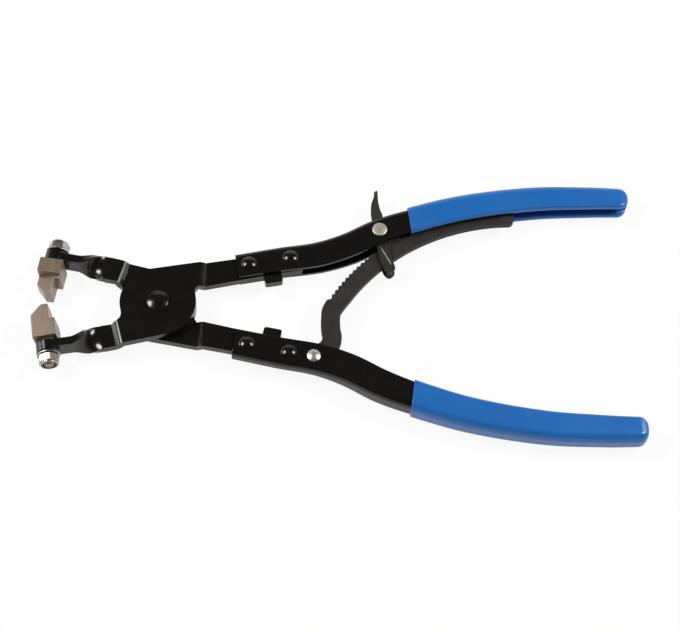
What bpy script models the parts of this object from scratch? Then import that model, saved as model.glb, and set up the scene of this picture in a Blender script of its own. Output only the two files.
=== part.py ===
"""Hose clamp pliers with two swivel jaws and a ratchet bar, modelled in metres.

The tool lies flat with its front up. X runs from the jaws to the grips, Y across the tool in its own
plane, and +Z out of its front. The origin is the middle of the tool's box. Each half of the tool is
modelled about the main pivot, and the rear half is the front half turned over about the X axis.
"""

import math

import bmesh
import bpy
from mathutils import Matrix, Vector

MM = 0.001

# Shared clearances and steps
GAP = 0.3 * MM
OVERRUN = 5.0 * MM
WELD_STEP = 0.04 * MM
MERGE = 0.01 * MM
ROUND_STEPS = 16
ARC_STEPS = 3

# Place of the main pivot from the middle of the tool
PIVOT_BACK = 74.87 * MM

# Jaw plates
PLATE_T = 3.4 * MM
DISC_R = 15.9 * MM
JOGGLE_CLEAR = 0.4 * MM
JAW_JOGGLE_CLEAR = 2.2 * MM
JOGGLE_RUN = 3.3 * MM
JOGGLE_LEAN = math.radians(15.0)
HANDLE_ROOT_FILLET = 3.0 * MM
JAW_ROOT_FILLET = 4.5 * MM
FILLET_STEPS = 4
HANDLE_ROOT_ANGLE = math.radians(27.0)
JAW_ROOT_ANGLE = math.radians(216.0)
ARM_CORNER = 1.5 * MM
ARM_END_SHARE = 0.161
ARM_EDGE_STEPS = 5
ARM_INSET = 0.8 * MM
ARM_PROUD = 0.7 * MM
DISC_ARC_STEPS = 12

# Stop tab on each arm
TAB_FROM_SHARE = 0.059
TAB_TO_SHARE = 0.1035
TAB_REACH = 4.3 * MM
TAB_CORNER = 1.0 * MM

# Jaw end of each plate, twisted a quarter turn into an upright strip with a boss
ARM_WIDTH = 10.6 * MM
TWIST_FROM_X = 22.0 * MM
TWIST_FROM_Y = 16.4 * MM
TWIST_TO_X = 35.0 * MM
TWIST_TO_Y = 19.3 * MM
TWIST_STEPS = 9
STRIP_WIDTH = 8.8 * MM
STRIP_T = 3.7 * MM
STRIP_CORNER = 0.5 * MM
STRIP_OVERLAP = 2.0 * MM
BOSS_X = 44.3 * MM
BOSS_Y = 20.95 * MM
BOSS_R = 4.9 * MM
BOSS_HEIGHT = 4.8 * MM
JAW_LEAN = math.radians(9.0)

# Handle channels
HANDLE_X = 32.6 * MM
HANDLE_Y = 18.2 * MM
HANDLE_RUN = 169.0 * MM
HANDLE_RISE = 36.9 * MM
HANDLE_LINE_SHARES = (
    (0.0, 0.0), (0.109, 0.103), (0.204, 0.181), (0.279, 0.304), (0.355, 0.49),
    (0.432, 0.632), (0.574, 0.832), (0.751, 0.968), (0.9, 1.0), (1.0, 1.0),
)
LINE_STEP_SHARE = 0.001
CHANNEL_WALL = 1.3 * MM
CHANNEL_HEIGHT = 12.0 * MM
CHANNEL_HEIGHT_SHARES = (
    (0.0, 0.99), (0.2, 1.035), (0.36, 1.0), (0.45, 0.94), (0.6, 0.905), (0.75, 0.875), (0.88, 0.815),
    (1.0, 0.715),
)
CHANNEL_FRONT_WIDTH = 6.8 * MM
CHANNEL_GRIP_WIDTH = 9.3 * MM
CHANNEL_TAPER = 0.9 * MM
CHANNEL_CORNER = 2.6 * MM
CHANNEL_STEPS = 24
WIDEN_FROM_SHARE = 0.16
WIDEN_TO_SHARE = 0.37
CHANNEL_END_SHARE = 0.975

# Grips
GRIP_COAT = 0.7 * MM
GRIP_FROM_SHARE = 0.433
GRIP_SLANT = math.radians(12.0)
GRIP_TIP = 4.2 * MM
GRIP_TIP_ROUND = 4.0 * MM
GRIP_TIP_STEPS = 4
LIP_STEPS = 4

# Rivets
PIVOT_SHANK_R = 3.1 * MM
PIVOT_HEAD_R = 4.75 * MM
PIVOT_DOME = 1.9 * MM
HANDLE_RIVET_SHARES = (0.029, 0.1325)
HANDLE_RIVET_OFFSET = -0.2 * MM
HANDLE_RIVET_R = 2.0 * MM
HANDLE_RIVET_HEAD_R = 3.35 * MM
HANDLE_RIVET_DOME = 1.4 * MM
SILVER_RIVET_R = 1.6 * MM
SILVER_RIVET_HEAD_R = 3.15 * MM
SILVER_RIVET_DOME = 0.7 * MM
HEAD_RIM_SHARE = 0.3

# Ratchet bar, an arc with a hooked foot
BAR_T = 3.0 * MM
BAR_WIDTH = 8.0 * MM
BAR_ARC_R = 91.4 * MM
BAR_CROSS_ANGLE = math.radians(126.465)
BAR_CROSS_DEPTH = 5.89 * MM
BAR_FOOT_RUN = 31.16 * MM
BAR_END_RUN = 56.2 * MM
BAR_ARC_STEPS = 22
BAR_PIVOT_SHARE = 0.19317
BAR_PIVOT_OFFSET = -0.246 * MM
BAR_FOOT_SHARES = ((0.45, 0.13), (0.585, 0.36), (0.57, 0.62), (0.63, 0.775))
BAR_END_STEPS = 8
BAR_TOP_CORNER = 0.8 * MM
BAR_LOW_CORNER = 2.2 * MM
TOOTH_PITCH = 2.5 * MM
TOOTH_DEPTH = 1.0 * MM
TOOTH_COUNT = 17
TOOTH_RAKE_SHARE = 0.8
BAR_RELIEF = 2.0 * MM

# Pawl lever with two cheeks, a horn through the handle's back, a tooth and a bridge under the bar
PAWL_SHARE = 0.35679
PAWL_OFFSET = -0.245 * MM
PAWL_DEPTH = 5.9 * MM
PAWL_CHEEK_T = 1.1 * MM
PAWL_TONGUE = 20.1 * MM
CHEEK_SHARES = (
    (-0.20, 0.06), (-0.18, -0.12), (-0.075, -0.32), (-0.02, -0.56), (0.04, -0.77), (0.11, -0.93),
    (0.205, -1.0), (0.30, -0.94), (0.325, -0.85), (0.27, -0.68), (0.235, -0.36), (0.30, -0.17),
    (0.42, -0.11), (0.48, -0.03), (0.47, 0.07), (0.36, 0.14), (0.16, 0.17), (-0.08, 0.15),
)
HORN_LENGTH = 21.5 * MM
HORN_T = 2.8 * MM
HORN_SHARES = (
    (-0.05, 0.14), (-0.139, 0.30), (-0.15, 0.40), (-0.163, 0.51), (-0.156, 0.685), (-0.117, 0.82),
    (-0.09, 0.91), (-0.095, 0.975), (-0.03, 1.0), (-0.02, 0.82), (-0.004, 0.69), (0.03, 0.54),
    (0.065, 0.45), (0.085, 0.28), (0.12, 0.14),
)
WEB_FROM = -0.6 * MM
WEB_TO = 3.4 * MM
WEB_LOW = 2.8 * MM
WEB_HIGH = 3.9 * MM
BRIDGE_R = 1.3 * MM
BRIDGE_SHARES = (0.215, -0.91)
PAWL_TOOTH_AHEAD = 5.5 * MM
PAWL_TOOTH_CLEAR = 0.5 * MM
PAWL_TOOTH_WIDTH = 2.4 * MM
PAWL_TOOTH_HEIGHT = 2.6 * MM
SLOT_FROM = -2.4 * MM
SLOT_TO = 6.9 * MM
SLOT_CLEAR = 0.5 * MM

# Pawl spring
SPRING_WIRE_R = 0.3 * MM
SPRING_COIL_R = 2.2 * MM
SPRING_PITCH = 1.05 * MM
SPRING_PAWL_LEG = 3.6 * MM
SPRING_HANDLE_LEG = 12.0 * MM
SPRING_STEPS = 21
TURN_POINTS = 9

# Swivel jaw heads
HEAD_STANDOFF = 0.95 * MM
SHOULDER_R = 3.9 * MM
HEAD_WIDTH = 9.8 * MM
HEAD_DEPTH = 12.2 * MM
HEAD_SHIFT = 0.2 * MM
HEAD_FLOOR = 7.8 * MM
HEAD_SHOULDER = 10.2 * MM
HEAD_HEIGHT = 14.6 * MM
NOTCH_WIDTH = 2.35 * MM
NOSE_TIP = 3.0 * MM
NOSE_STEP_FAR = 3.4 * MM
NOSE_STEP_DROP = 0.35 * MM
HEAD_BEVEL = 0.35 * MM
UPPER_SWIVEL = math.radians(2.2)
LOWER_SWIVEL = math.radians(-5.5)

# Stud, washer, nut and nut insert
STUD_R = 2.5 * MM
STUD_CLEAR = 0.3 * MM
WASHER_R = 4.9 * MM
WASHER_T = 0.6 * MM
NUT_FLATS = 8.0 * MM
NUT_T = 3.1 * MM
COLLAR_R = 3.75 * MM
COLLAR_T = 0.9 * MM
COLLAR_WALL = 0.45 * MM
INSERT_T = 0.6 * MM
STUD_PROUD = 0.2 * MM


def clear_scene():
    for obj in list(bpy.data.objects):
        bpy.data.objects.remove(obj, do_unlink=True)


def new_collection(name):
    collection = bpy.data.collections.new(name)
    bpy.context.scene.collection.children.link(collection)
    return collection


clear_scene()
TOOL = new_collection("hose_clamp_pliers")
CUTTERS = new_collection("cutters")


def material(name, colour, metallic, roughness):
    mat = bpy.data.materials.new(name)
    mat.use_nodes = True
    shader = mat.node_tree.nodes["Principled BSDF"]
    shader.inputs["Base Color"].default_value = (*colour, 1.0)
    shader.inputs["Metallic"].default_value = metallic
    shader.inputs["Roughness"].default_value = roughness
    mat.diffuse_color = (*colour, 1.0)
    return mat


def empty(name, location, parent=None, turn=None):
    obj = bpy.data.objects.new(name, None)
    obj.location = location
    if turn is not None:
        obj.rotation_euler = turn
    obj.parent = parent
    TOOL.objects.link(obj)
    return obj


def add_object(name, mesh, parent, mat=None):
    """Link a mesh as a part of the tool, or as a cutter when it has no material."""
    obj = bpy.data.objects.new(name, mesh)
    obj.parent = parent
    if mat is None:
        CUTTERS.objects.link(obj)
        obj.hide_render = True
        obj.display_type = "WIRE"
    else:
        TOOL.objects.link(obj)
        mesh.materials.clear()
        mesh.materials.append(mat)
    return obj


def boolean(obj, other, operation):
    modifier = obj.modifiers.new(other.name, "BOOLEAN")
    modifier.operation = operation
    modifier.object = other
    modifier.solver = "EXACT"


def smooth(mesh, angle=math.radians(35.0)):
    mesh.shade_smooth()
    mesh.set_sharp_from_angle(angle=angle)


def mesh_from(bm, name):
    bmesh.ops.recalc_face_normals(bm, faces=bm.faces)
    mesh = bpy.data.meshes.new(name)
    bm.to_mesh(mesh)
    bm.free()
    return mesh


def mesh_of_curve(curve):
    """Turn a curve into a closed mesh and drop the curve."""
    carrier = bpy.data.objects.new(curve.name, curve)
    CUTTERS.objects.link(carrier)
    depsgraph = bpy.context.evaluated_depsgraph_get()
    mesh = bpy.data.meshes.new_from_object(carrier.evaluated_get(depsgraph))
    bpy.data.objects.remove(carrier, do_unlink=True)
    bpy.data.curves.remove(curve)
    bm = bmesh.new()
    bm.from_mesh(mesh)
    bmesh.ops.remove_doubles(bm, verts=bm.verts, dist=MERGE)
    bm.to_mesh(mesh)
    bm.free()
    return mesh


def flat_mesh(name, points, thickness):
    """A flat outline in X and Y, centred in Z."""
    curve = bpy.data.curves.new(name, "CURVE")
    curve.dimensions = "2D"
    curve.fill_mode = "BOTH"
    curve.extrude = thickness / 2
    spline = curve.splines.new("POLY")
    spline.points.add(len(points) - 1)
    for spot, (x, y) in zip(spline.points, points):
        spot.co = (x, y, 0.0, 1.0)
    spline.use_cyclic_u = True
    return mesh_of_curve(curve)


def wire_mesh(name, points, radius):
    curve = bpy.data.curves.new(name, "CURVE")
    curve.dimensions = "3D"
    curve.bevel_depth = radius
    curve.bevel_resolution = 1
    curve.use_fill_caps = True
    spline = curve.splines.new("POLY")
    spline.points.add(len(points) - 1)
    for spot, place in zip(spline.points, points):
        spot.co = (*place, 1.0)
    return mesh_of_curve(curve)


def box_mesh(name, low, high):
    bm = bmesh.new()
    bmesh.ops.create_cube(bm, size=1.0)
    size = Vector(high) - Vector(low)
    middle = (Vector(high) + Vector(low)) / 2
    bmesh.ops.scale(bm, vec=size, verts=bm.verts)
    bmesh.ops.translate(bm, vec=middle, verts=bm.verts)
    return mesh_from(bm, name)


def rod_mesh(name, radius, low, high, steps=ROUND_STEPS):
    """A round rod along Z."""
    bm = bmesh.new()
    bmesh.ops.create_cone(
        bm, cap_ends=True, segments=steps, radius1=radius, radius2=radius, depth=high - low,
        matrix=Matrix.Translation((0.0, 0.0, (high + low) / 2)),
    )
    return mesh_from(bm, name)


def turned(name, profile, parent, mat, ring=False, steps=ROUND_STEPS):
    """Turn a profile of radius and height about Z, from the top down; a ring's profile is a loop."""
    mesh = bpy.data.meshes.new(name)
    spots = [(radius, 0.0, height) for radius, height in profile]
    edges = [(i, i + 1) for i in range(len(spots) - 1)]
    if ring:
        edges.append((len(spots) - 1, 0))
    mesh.from_pydata(spots, edges, [])
    obj = add_object(name, mesh, parent, mat)
    screw = obj.modifiers.new("turn", "SCREW")
    screw.axis = "Z"
    screw.angle = math.tau
    screw.steps = steps
    screw.render_steps = steps
    screw.use_merge_vertices = True
    screw.merge_threshold = MERGE
    screw.use_smooth_shade = True
    return obj


def loft_mesh(name, rings, closed=True):
    """Skin rings of equal length: a capped solid when closed, else an open sheet."""
    bm = bmesh.new()
    rows = [[bm.verts.new(spot) for spot in ring] for ring in rings]
    count = len(rings[0])
    span = count if closed else count - 1
    for row, after in zip(rows, rows[1:]):
        for i in range(span):
            j = (i + 1) % count
            bm.faces.new((row[i], row[j], after[j], after[i]))
    if closed:
        bm.faces.new(rows[0][::-1])
        bm.faces.new(rows[-1])
        return mesh_from(bm, name)
    mesh = bpy.data.meshes.new(name)
    bm.to_mesh(mesh)
    bm.free()
    return mesh


def arc_points(centre, radius, start, end, steps):
    points = []
    for i in range(steps + 1):
        angle = start + (end - start) * i / steps
        points.append((centre[0] + radius * math.cos(angle), centre[1] + radius * math.sin(angle)))
    return points


def rounded(corners, steps=ARC_STEPS):
    """Round each corner (x, y, radius) of a closed outline, with plain points where it is zero."""
    points = []
    for i, (x, y, radius) in enumerate(corners):
        here = Vector((x, y))
        if radius == 0.0:
            points.append((x, y))
            continue
        back = Vector(corners[i - 1][:2]) - here
        ahead = Vector(corners[(i + 1) % len(corners)][:2]) - here
        half = back.angle(ahead) / 2
        reach = min(radius / math.tan(half), back.length / 2, ahead.length / 2)
        bend = reach * math.tan(half)
        centre = here + (back.normalized() + ahead.normalized()).normalized() * bend / math.sin(half)
        first = here + back.normalized() * reach - centre
        last = here + ahead.normalized() * reach - centre
        turn = first.angle_signed(last)
        for k in range(steps + 1):
            spoke = first.copy()
            spoke.rotate(Matrix.Rotation(-turn * k / steps, 2))
            points.append(tuple(centre + spoke))
    return points


def table_value(table, share):
    """Read a smooth curve through a table of pairs."""
    last = len(table) - 2
    index = next((i for i in range(last) if share < table[i + 1][0]), last)
    (x0, y0), (x1, y1) = table[index], table[index + 1]
    before = table[max(index - 1, 0)]
    after = table[min(index + 2, last + 1)]
    slope0 = (y1 - before[1]) / (x1 - before[0])
    slope1 = (after[1] - y0) / (after[0] - x0)
    run = x1 - x0
    t = (share - x0) / run
    start = (1 + 2 * t) * (1 - t) ** 2 * y0 + t * (1 - t) ** 2 * run * slope0
    return start + t * t * (3 - 2 * t) * y1 + t * t * (t - 1) * run * slope1


def ease(share):
    share = min(max(share, 0.0), 1.0)
    return share * share * (3 - 2 * share)


def handle_frame(share):
    """Point and outward normal of the handle's middle line, in the upper handle's own plane."""
    ahead = table_value(HANDLE_LINE_SHARES, share + LINE_STEP_SHARE)
    rise = HANDLE_RISE * (ahead - table_value(HANDLE_LINE_SHARES, share))
    along = Vector((HANDLE_RUN * LINE_STEP_SHARE, rise)).normalized()
    x = HANDLE_X + HANDLE_RUN * share
    y = HANDLE_Y + HANDLE_RISE * table_value(HANDLE_LINE_SHARES, share)
    return Vector((x, y)), Vector((-along.y, along.x))


def handle_point(share, offset=0.0):
    spot, outward = handle_frame(share)
    return spot + outward * offset


def channel_height(share):
    return CHANNEL_HEIGHT * table_value(CHANNEL_HEIGHT_SHARES, share)


def channel_width(share):
    """Narrow over the plate, widest where the grip starts and a little slimmer at its end."""
    wide = ease((share - WIDEN_FROM_SHARE) / (WIDEN_TO_SHARE - WIDEN_FROM_SHARE))
    taper = ease((share - WIDEN_TO_SHARE) / (CHANNEL_END_SHARE - WIDEN_TO_SHARE))
    return CHANNEL_FRONT_WIDTH + (CHANNEL_GRIP_WIDTH - CHANNEL_FRONT_WIDTH) * wide - CHANNEL_TAPER * taper


def on_handle(share, section, extra=0.0, slant=0.0):
    """Set section points (across, outward) at a place along the handle, moved on by extra."""
    spot, outward = handle_frame(share)
    along = Vector((outward.y, -outward.x))
    places = []
    for across, out in section:
        flat = spot + outward * out + along * (extra + slant * out)
        places.append(Vector((flat.x, flat.y, across)))
    return places


def skin_section(share, grow=0.0):
    """Outer skin of the channel, open at its mouth."""
    side = channel_width(share) / 2 + grow
    top = channel_height(share) / 2 + grow
    corner = CHANNEL_CORNER + grow
    right = arc_points((side - corner, top - corner), corner, 0.0, math.pi / 2, ARC_STEPS)
    left = arc_points((corner - side, top - corner), corner, math.pi / 2, math.pi, ARC_STEPS)
    return [(side, -top)] + right + left + [(-side, -top)]


def sleeve_section(share, grow, squeeze=0.0):
    """Closed U about the channel's wall, thicker by grow on every side."""
    side = channel_width(share) / 2 + grow - squeeze
    top = channel_height(share) / 2 + grow - squeeze
    corner = CHANNEL_CORNER + grow - squeeze
    inner = channel_width(share) / 2 - CHANNEL_WALL - grow
    roof = channel_height(share) / 2 - CHANNEL_WALL - grow - squeeze
    bend = max(CHANNEL_CORNER - CHANNEL_WALL - grow, GAP)
    edge = (side - inner) / 2
    lip = (side + inner) / 2
    right_lip = arc_points((lip, edge - top), edge, -math.pi, 0.0, LIP_STEPS)
    right = arc_points((side - corner, top - corner), corner, 0.0, math.pi / 2, ARC_STEPS)
    left = arc_points((corner - side, top - corner), corner, math.pi / 2, math.pi, ARC_STEPS)
    left_lip = arc_points((-lip, edge - top), edge, math.pi, math.tau, LIP_STEPS)
    inner_left = arc_points((bend - inner, roof - bend), bend, math.pi, math.pi / 2, ARC_STEPS)
    inner_right = arc_points((inner - bend, roof - bend), bend, math.pi / 2, 0.0, ARC_STEPS)
    return right_lip + right + left + left_lip + inner_left + inner_right


def tangent_angle(spot, radius, side):
    """Angle on a circle about the pivot where a line from the spot touches it."""
    return math.atan2(spot.y, spot.x) + side * math.acos(radius / spot.length)


def jaw_path():
    """Points down the middle of the jaw arm with the quarter turn made so far."""
    start = Vector((-TWIST_FROM_X, -TWIST_FROM_Y))
    end = Vector((-TWIST_TO_X, -TWIST_TO_Y))
    boss = Vector((-BOSS_X, -BOSS_Y))
    ahead = (end - start).normalized()
    path = [(start - ahead * STRIP_OVERLAP, 0.0)]
    for i in range(TWIST_STEPS + 1):
        share = i / TWIST_STEPS
        path.append((start.lerp(end, share), ease(share)))
    path.append((end.lerp(boss, 0.5), 1.0))
    path.append((boss, 1.0))
    return path


def strip_mesh():
    """The twisted strip, as rings of a cut-cornered rectangle."""
    path = jaw_path()
    rings = []
    for i, (spot, turned_share) in enumerate(path):
        before = path[max(i - 1, 0)][0]
        after = path[min(i + 1, len(path) - 1)][0]
        along = (after - before).normalized()
        side = Vector((along.y, -along.x, 0.0))
        up = Vector((0.0, 0.0, 1.0))
        angle = turned_share * math.pi / 2
        wide = side * math.cos(angle) + up * math.sin(angle)
        thin = up * math.cos(angle) - side * math.sin(angle)
        half_w = (ARM_WIDTH + (STRIP_WIDTH - ARM_WIDTH) * turned_share) / 2 - WELD_STEP
        half_t = (PLATE_T + (STRIP_T - PLATE_T) * turned_share) / 2 - WELD_STEP
        cut = STRIP_CORNER * turned_share + WELD_STEP
        corners = [
            (half_w, half_t - cut), (half_w - cut, half_t), (cut - half_w, half_t), (-half_w, half_t - cut),
            (-half_w, cut - half_t), (cut - half_w, -half_t), (half_w - cut, -half_t), (half_w, cut - half_t),
        ]
        centre = Vector((spot.x, spot.y, 0.0))
        rings.append([centre + wide * w + thin * t for w, t in corners])
    return loft_mesh("jaw_strip", rings)


def plate_outline():
    """Outline of the front plate: handle arm up right, pivot disc, jaw arm down left."""
    outer_edge = []
    for i in range(ARM_EDGE_STEPS + 1):
        share = ARM_END_SHARE * i / ARM_EDGE_STEPS
        outer_edge.append(handle_point(share, channel_height(share) / 2 - CHANNEL_WALL - ARM_INSET))
    tab = [
        (inner_edge(TAB_TO_SHARE), 0.0),
        (handle_point(TAB_TO_SHARE, -channel_height(TAB_TO_SHARE) / 2 - TAB_REACH), TAB_CORNER),
        (handle_point(TAB_FROM_SHARE, -channel_height(TAB_FROM_SHARE) / 2 - TAB_REACH), TAB_CORNER),
        (inner_edge(TAB_FROM_SHARE), 0.0),
    ]
    twist = Vector((-TWIST_FROM_X, -TWIST_FROM_Y))
    ahead = (Vector((-TWIST_TO_X, -TWIST_TO_Y)) - twist).normalized()
    side = Vector((ahead.y, -ahead.x))
    jaw_outer = twist - side * ARM_WIDTH / 2
    jaw_inner = twist + side * ARM_WIDTH / 2
    handle_touch = tangent_angle(outer_edge[0], DISC_R, 1)
    jaw_touch = tangent_angle(jaw_outer, DISC_R, 1)
    right_fillet, right_start = root_fillet(inner_edge(0.0), HANDLE_ROOT_ANGLE, HANDLE_ROOT_FILLET)
    left_fillet, left_start = root_fillet(jaw_inner, JAW_ROOT_ANGLE, JAW_ROOT_FILLET)
    centre = (0.0, 0.0)
    right_arc = arc_points(centre, DISC_R, right_start, jaw_touch, DISC_ARC_STEPS)
    left_arc = arc_points(centre, DISC_R, left_start, handle_touch, DISC_ARC_STEPS)
    corners = [(*spot, 0.0) for spot in outer_edge[:-1]]
    corners += [(*outer_edge[-1], ARM_CORNER), (*inner_edge(ARM_END_SHARE), ARM_CORNER)]
    corners += [(*spot, radius) for spot, radius in tab]
    corners.append((*inner_edge(0.0), 0.0))
    corners += [(*spot, 0.0) for spot in right_fillet + right_arc[1:]]
    corners += [(*jaw_outer, 0.0), (*jaw_inner, 0.0)]
    corners += [(*spot, 0.0) for spot in left_fillet + left_arc[1:]]
    return rounded(corners)


def inner_edge(share):
    """Inner edge of the handle arm, proud of the channel's mouth at the front."""
    proud = ARM_PROUD * (1.0 - share / ARM_END_SHARE)
    return handle_point(share, -channel_height(share) / 2 - proud)


def least_turn(first, last):
    """Shortest turn from one angle to another."""
    return (last - first + math.pi) % math.tau - math.pi


def root_fillet(spot, angle, radius):
    """Arc from an arm's inner edge, aimed at an angle of the disc, and where it meets the disc."""
    root = Vector((math.cos(angle), math.sin(angle))) * DISC_R
    along = (root - spot).normalized()
    away = Vector((-along.y, along.x))
    if away.dot(spot) > 0.0:
        away.negate()
    offset = spot + away * radius
    aim = offset.dot(along)
    centre = offset + along * (-aim - math.sqrt(aim ** 2 - offset.length_squared + (DISC_R + radius) ** 2))
    first = math.atan2(-away.y, -away.x)
    curl = least_turn(first, math.atan2(-centre.y, -centre.x))
    touch = angle + least_turn(angle, math.atan2(centre.y, centre.x))
    return arc_points(centre, radius, first, first + curl, FILLET_STEPS), touch


def joggle_sides():
    """Direction away from the disc and start of the joggle, for the handle arm and the jaw arm."""
    jaw = Vector((-math.cos(JOGGLE_LEAN), -math.sin(JOGGLE_LEAN), 0.0))
    return [(Vector((1.0, 0.0, 0.0)), DISC_R + JOGGLE_CLEAR), (jaw, DISC_R + JAW_JOGGLE_CLEAR)]


def joggle_lift(spot):
    """Lifted over the other plate at the disc and level beyond the joggles."""
    past = max(spot.dot(away) - start for away, start in joggle_sides())
    return (PLATE_T + GAP) / 2 * (1.0 - min(max(past / JOGGLE_RUN, 0.0), 1.0))


def pressed_mesh(name):
    """The plate's outline as a sheet, creased across each arm and lifted at the disc."""
    bm = bmesh.new()
    bm.faces.new([bm.verts.new((x, y, 0.0)) for x, y in plate_outline()])
    for away, start in joggle_sides():
        for reach in (start, start + JOGGLE_RUN):
            sheet = bm.verts[:] + bm.edges[:] + bm.faces[:]
            bmesh.ops.bisect_plane(bm, geom=sheet, dist=MERGE, plane_co=away * reach, plane_no=away)
    lifted = bmesh.ops.extrude_face_region(bm, geom=bm.faces[:])
    top = [item for item in lifted["geom"] if isinstance(item, bmesh.types.BMVert)]
    bmesh.ops.translate(bm, verts=top, vec=(0.0, 0.0, PLATE_T))
    for vert in bm.verts:
        vert.co.z += joggle_lift(vert.co) - PLATE_T / 2
    return mesh_from(bm, name)


def upright(mesh):
    """Turn a mesh drawn in X and Y into X and Z."""
    mesh.transform(Matrix.Rotation(math.pi / 2, 4, "X"))
    return mesh


def jaw_axes():
    """Middle of the boss and the turn that points +Y along its stud, towards the nose."""
    return Matrix.Translation((-BOSS_X, -BOSS_Y, 0.0)) @ Matrix.Rotation(JAW_LEAN, 4, "Z")


def along_stud(mesh):
    """Turn a mesh made along Z to lie along the jaw frame's Y."""
    mesh.transform(Matrix.Rotation(-math.pi / 2, 4, "X"))
    return mesh


def drill(obj, name, place, radius, low, high, parent):
    mesh = rod_mesh(name, radius, low, high)
    mesh.transform(place)
    boolean(obj, add_object(name, mesh, parent), "DIFFERENCE")


def make_plate(name, half, mat):
    plate = add_object(name, pressed_mesh(name), half, mat)
    boolean(plate, add_object(name + "_strip", strip_mesh(), half), "UNION")
    boss = along_stud(rod_mesh("boss", BOSS_R, STRIP_T / 2 - BOSS_HEIGHT, STRIP_T / 2))
    boss.transform(jaw_axes())
    boolean(plate, add_object(name + "_boss", boss, half), "UNION")
    bore = along_stud(rod_mesh("bore", STUD_R + STUD_CLEAR, -BOSS_HEIGHT - OVERRUN, OVERRUN))
    bore.transform(jaw_axes())
    boolean(plate, add_object(name + "_bore", bore, half), "DIFFERENCE")
    drill(plate, name + "_pivot_hole", Matrix.Identity(4), PIVOT_SHANK_R + GAP, -OVERRUN, OVERRUN, half)
    for number, place in enumerate(handle_rivet_places(), 1):
        hole = f"{name}_rivet_hole_{number}"
        drill(plate, hole, place, HANDLE_RIVET_R + GAP, -OVERRUN, OVERRUN, half)
    smooth(plate.data)
    return plate


def handle_rivet_places():
    spots = [handle_point(share, HANDLE_RIVET_OFFSET) for share in HANDLE_RIVET_SHARES]
    return [Matrix.Translation((spot.x, spot.y, 0.0)) for spot in spots]


def handle_stations(start=0.0):
    """Places of the rings from a start to the channel's end, the same for channel and grip."""
    stations = [CHANNEL_END_SHARE * i / CHANNEL_STEPS for i in range(1, CHANNEL_STEPS + 1)]
    return [start] + [share for share in stations if share > start]


def make_channel(name, half, mat):
    rings = [on_handle(share, skin_section(share)) for share in handle_stations()]
    channel = add_object(name, loft_mesh(name, rings, closed=False), half, mat)
    wall = channel.modifiers.new("wall", "SOLIDIFY")
    wall.thickness = CHANNEL_WALL
    wall.offset = 1.0
    wall.use_even_offset = True
    for number, place in enumerate(handle_rivet_places(), 1):
        hole = f"{name}_rivet_hole_{number}"
        drill(channel, hole, place, HANDLE_RIVET_R + GAP, -2 * OVERRUN, 2 * OVERRUN, half)
    smooth(channel.data)
    return channel


def make_grip(name, half, mat):
    """A coat over the channel's wall and lips, with a closed rounded tip past the channel's end."""
    coat = GAP + GRIP_COAT
    shares = handle_stations(GRIP_FROM_SHARE)
    rings = [on_handle(shares[0], sleeve_section(shares[0], coat), slant=math.tan(GRIP_SLANT))]
    rings += [on_handle(share, sleeve_section(share, coat)) for share in shares[1:]]
    for i in range(1, GRIP_TIP_STEPS + 1):
        angle = math.pi / 2 * i / GRIP_TIP_STEPS
        squeeze = GRIP_TIP_ROUND / 2 * (1 - math.cos(angle))
        rings.append(on_handle(CHANNEL_END_SHARE, sleeve_section(CHANNEL_END_SHARE, coat, squeeze / 2),
                               GRIP_TIP * math.sin(angle)))
    grip = add_object(name, loft_mesh(name, rings), half, mat)
    hollow = [on_handle(shares[0], sleeve_section(shares[0], GAP), -OVERRUN)]
    hollow += [on_handle(share, sleeve_section(share, GAP)) for share in shares]
    hollow.append(on_handle(CHANNEL_END_SHARE, sleeve_section(CHANNEL_END_SHARE, GAP), GAP))
    boolean(grip, add_object(name + "_hollow", loft_mesh("hollow", hollow), half), "DIFFERENCE")
    smooth(grip.data)
    return grip


def rivet_profile(shank, head, dome, half_length):
    """Half profile of a rivet with a low dome at each end, from the top down."""
    rim = dome * HEAD_RIM_SHARE
    top = []
    for i in range(ARC_STEPS):
        angle = math.pi / 2 * i / ARC_STEPS
        top.append((head * math.sin(angle), half_length + rim + (dome - rim) * math.cos(angle)))
    top += [(head, half_length + rim), (head, half_length), (shank, half_length)]
    return top + [(radius, -height) for radius, height in top[::-1]]


def make_rivet(name, place, parent, sizes, half_length, mat):
    shank, head, dome = sizes
    rivet = turned(name, rivet_profile(shank, head, dome, half_length), parent, mat)
    rivet.location = place
    return rivet


def handle_rivet_half_length():
    return channel_width(0.0) / 2 + GAP


def pawl_place():
    """The pawl's rivet on the upper handle's line."""
    return handle_point(PAWL_SHARE, PAWL_OFFSET)


def bar_place():
    """The bar's rivet on the lower handle's line."""
    spot = handle_point(BAR_PIVOT_SHARE, BAR_PIVOT_OFFSET)
    return Vector((spot.x, -spot.y))


def bar_centre():
    """Centre of the bar's arc, which passes under the pawl's rivet."""
    crossing = Vector((math.cos(BAR_CROSS_ANGLE), math.sin(BAR_CROSS_ANGLE)))
    return pawl_place() - crossing * (BAR_ARC_R + BAR_WIDTH / 2 + BAR_CROSS_DEPTH)


def bar_arc(radius, steps):
    """The bar's arc at a radius, from its foot to its end."""
    start = BAR_CROSS_ANGLE + BAR_FOOT_RUN / BAR_ARC_R
    return arc_points(bar_centre(), radius, start, BAR_CROSS_ANGLE - BAR_END_RUN / BAR_ARC_R, steps)


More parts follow.
